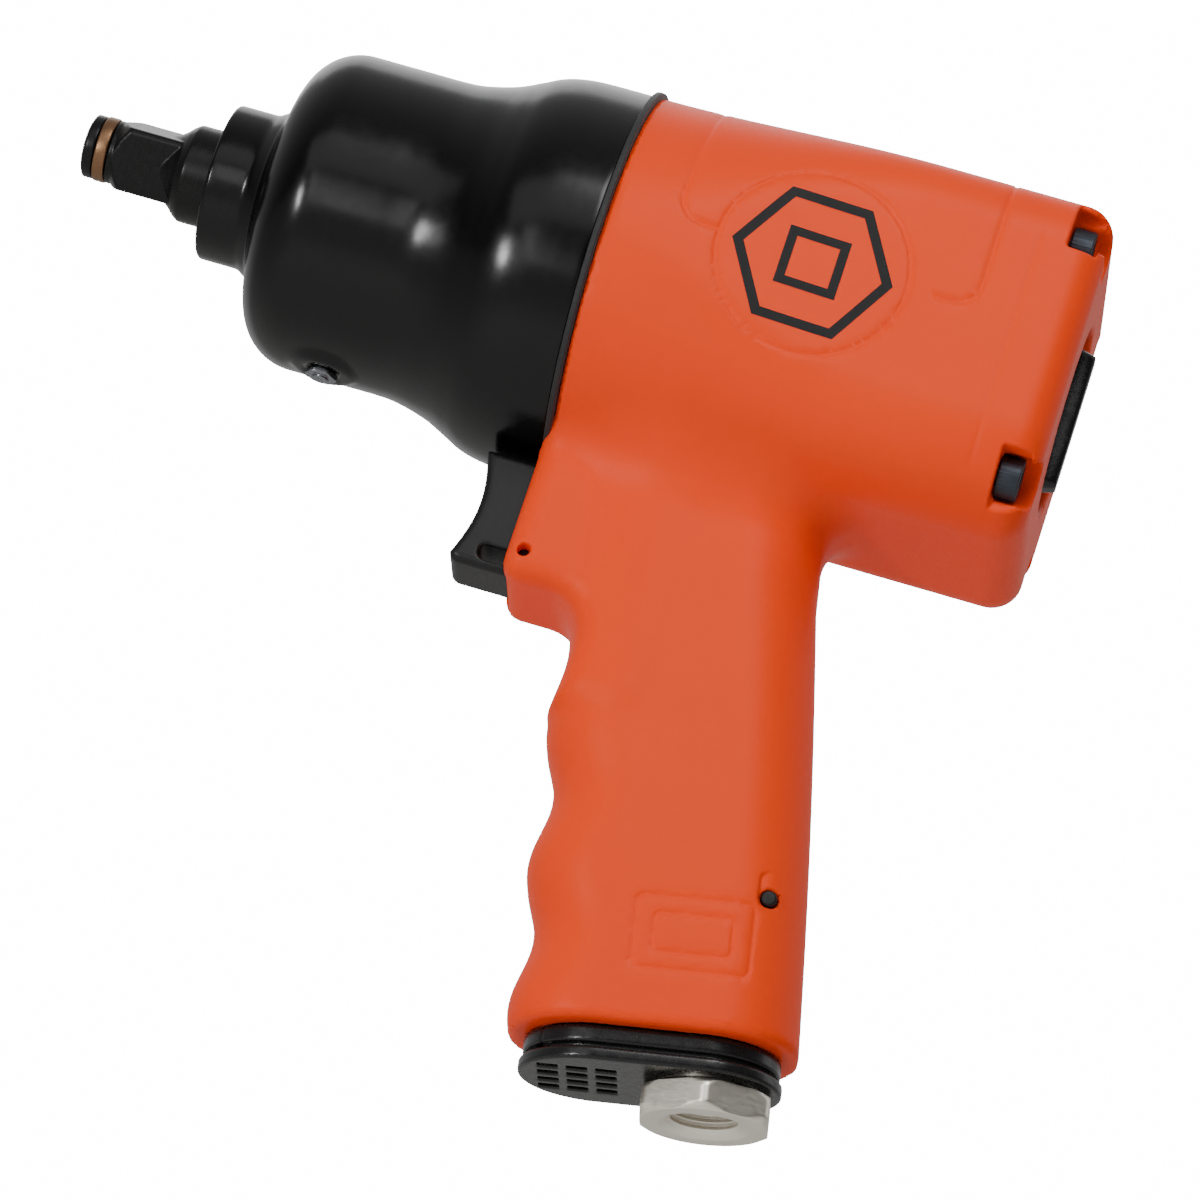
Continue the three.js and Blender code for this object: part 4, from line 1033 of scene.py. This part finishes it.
# ---- settings, panel and registration ----------------------------------------------------------
def length_of(name, description, value):
    """A setting in metres whose default is given in millimetres."""
    return FloatProperty(name=name, description=description, default=value * MM, unit="LENGTH")


def angle_of(name, description, value):
    """A setting that is an angle, its default given in degrees."""
    return FloatProperty(name=name, description=description, default=math.radians(value),
                         subtype="ANGLE")


def colour_of(slot, name, description):
    """A colour setting whose default is the first shade of a finish."""
    return FloatVectorProperty(name=name, description=description, subtype="COLOR", min=0, max=1,
                               default=linear(FINISHES[slot][1]))


class WrenchSizes(bpy.types.PropertyGroup):
    square: length_of("Square drive", "Across the drive's flats", 12.7)
    groove_width: length_of("Line width", "Width of the moulded lines", 1.3)
    groove_depth: length_of("Line depth", "Depth of the moulded lines", 0.3)
    mark_size: length_of("Mark size", "Across the printed hexagon's flats", 27.5)


class WrenchColours(bpy.types.PropertyGroup):
    orange_composite: colour_of("orange_composite", "Body", "Moulded body and grip")
    case_lacquer: colour_of("case_lacquer", "Hammer case", "Enamel of the hammer case")
    trigger_plastic: colour_of("trigger_plastic", "Trigger", "Moulded trigger")
    nickel_plate: colour_of("nickel_plate", "Inlet", "Plating of the air inlet")
    print_ink: colour_of("print_ink", "Mark", "Ink of the printed mark")


class WrenchStage(bpy.types.PropertyGroup):
    azimuth: angle_of("Azimuth", "Turn of the camera round the wrench", 8.3)
    elevation: angle_of("Elevation", "Height of the camera, below 0 from beneath", -19.6)
    roll: angle_of("Roll", "Tilt of the picture", 18.9)
    distance: length_of("Distance", "From the camera to its target", 1346.15)
    lens: FloatProperty(name="Lens", description="Focal length in millimetres on a 36 mm sensor",
                        default=210.0)
    aside: length_of("Aside", "How far right of the target the camera aims", 20.0)
    rise: length_of("Rise", "How far above the target the camera aims", -17.02)
    near_glow: FloatProperty(name="Near glow", description="Surroundings on the camera's side",
                             default=0.05)
    far_glow: FloatProperty(name="Far glow", description="Surroundings on the far side", default=0.6)


class WRENCH_PT_panel(bpy.types.Panel):
    """Lists the makers of the wrench's pieces and the settings they read"""

    bl_idname = "WRENCH_PT_panel"
    bl_label = "Air impact wrench"
    bl_space_type = "VIEW_3D"
    bl_region_type = "UI"
    bl_category = "Wrench"

    def draw(self, context):
        for maker in MAKERS:
            self.layout.operator(maker.bl_idname)
        scene = context.scene
        for group in (scene.wrench_sizes, scene.wrench_colours, scene.wrench_stage):
            box = self.layout.box()
            for name in group.__annotations__:
                box.prop(group, name)


MAKERS = (WRENCH_OT_body, WRENCH_OT_mark, WRENCH_OT_case, WRENCH_OT_drive, WRENCH_OT_dial,
          WRENCH_OT_screws, WRENCH_OT_trigger, WRENCH_OT_pins, WRENCH_OT_foot, WRENCH_OT_inside,
          WRENCH_OT_stage)
CLASSES = (WrenchSizes, WrenchColours, WrenchStage, *MAKERS, WRENCH_PT_panel)


def register():
    for kind in CLASSES:
        bpy.utils.register_class(kind)
    bpy.types.Scene.wrench_sizes = PointerProperty(type=WrenchSizes)
    bpy.types.Scene.wrench_colours = PointerProperty(type=WrenchColours)
    bpy.types.Scene.wrench_stage = PointerProperty(type=WrenchStage)


def unregister():
    del bpy.types.Scene.wrench_stage
    del bpy.types.Scene.wrench_colours
    del bpy.types.Scene.wrench_sizes
    for kind in reversed(CLASSES):
        bpy.utils.unregister_class(kind)


def main():
    register()
    for maker in MAKERS:
        group, name = maker.bl_idname.split(".")
        getattr(getattr(bpy.ops, group), name)()


if __name__ == "__main__":
    main()
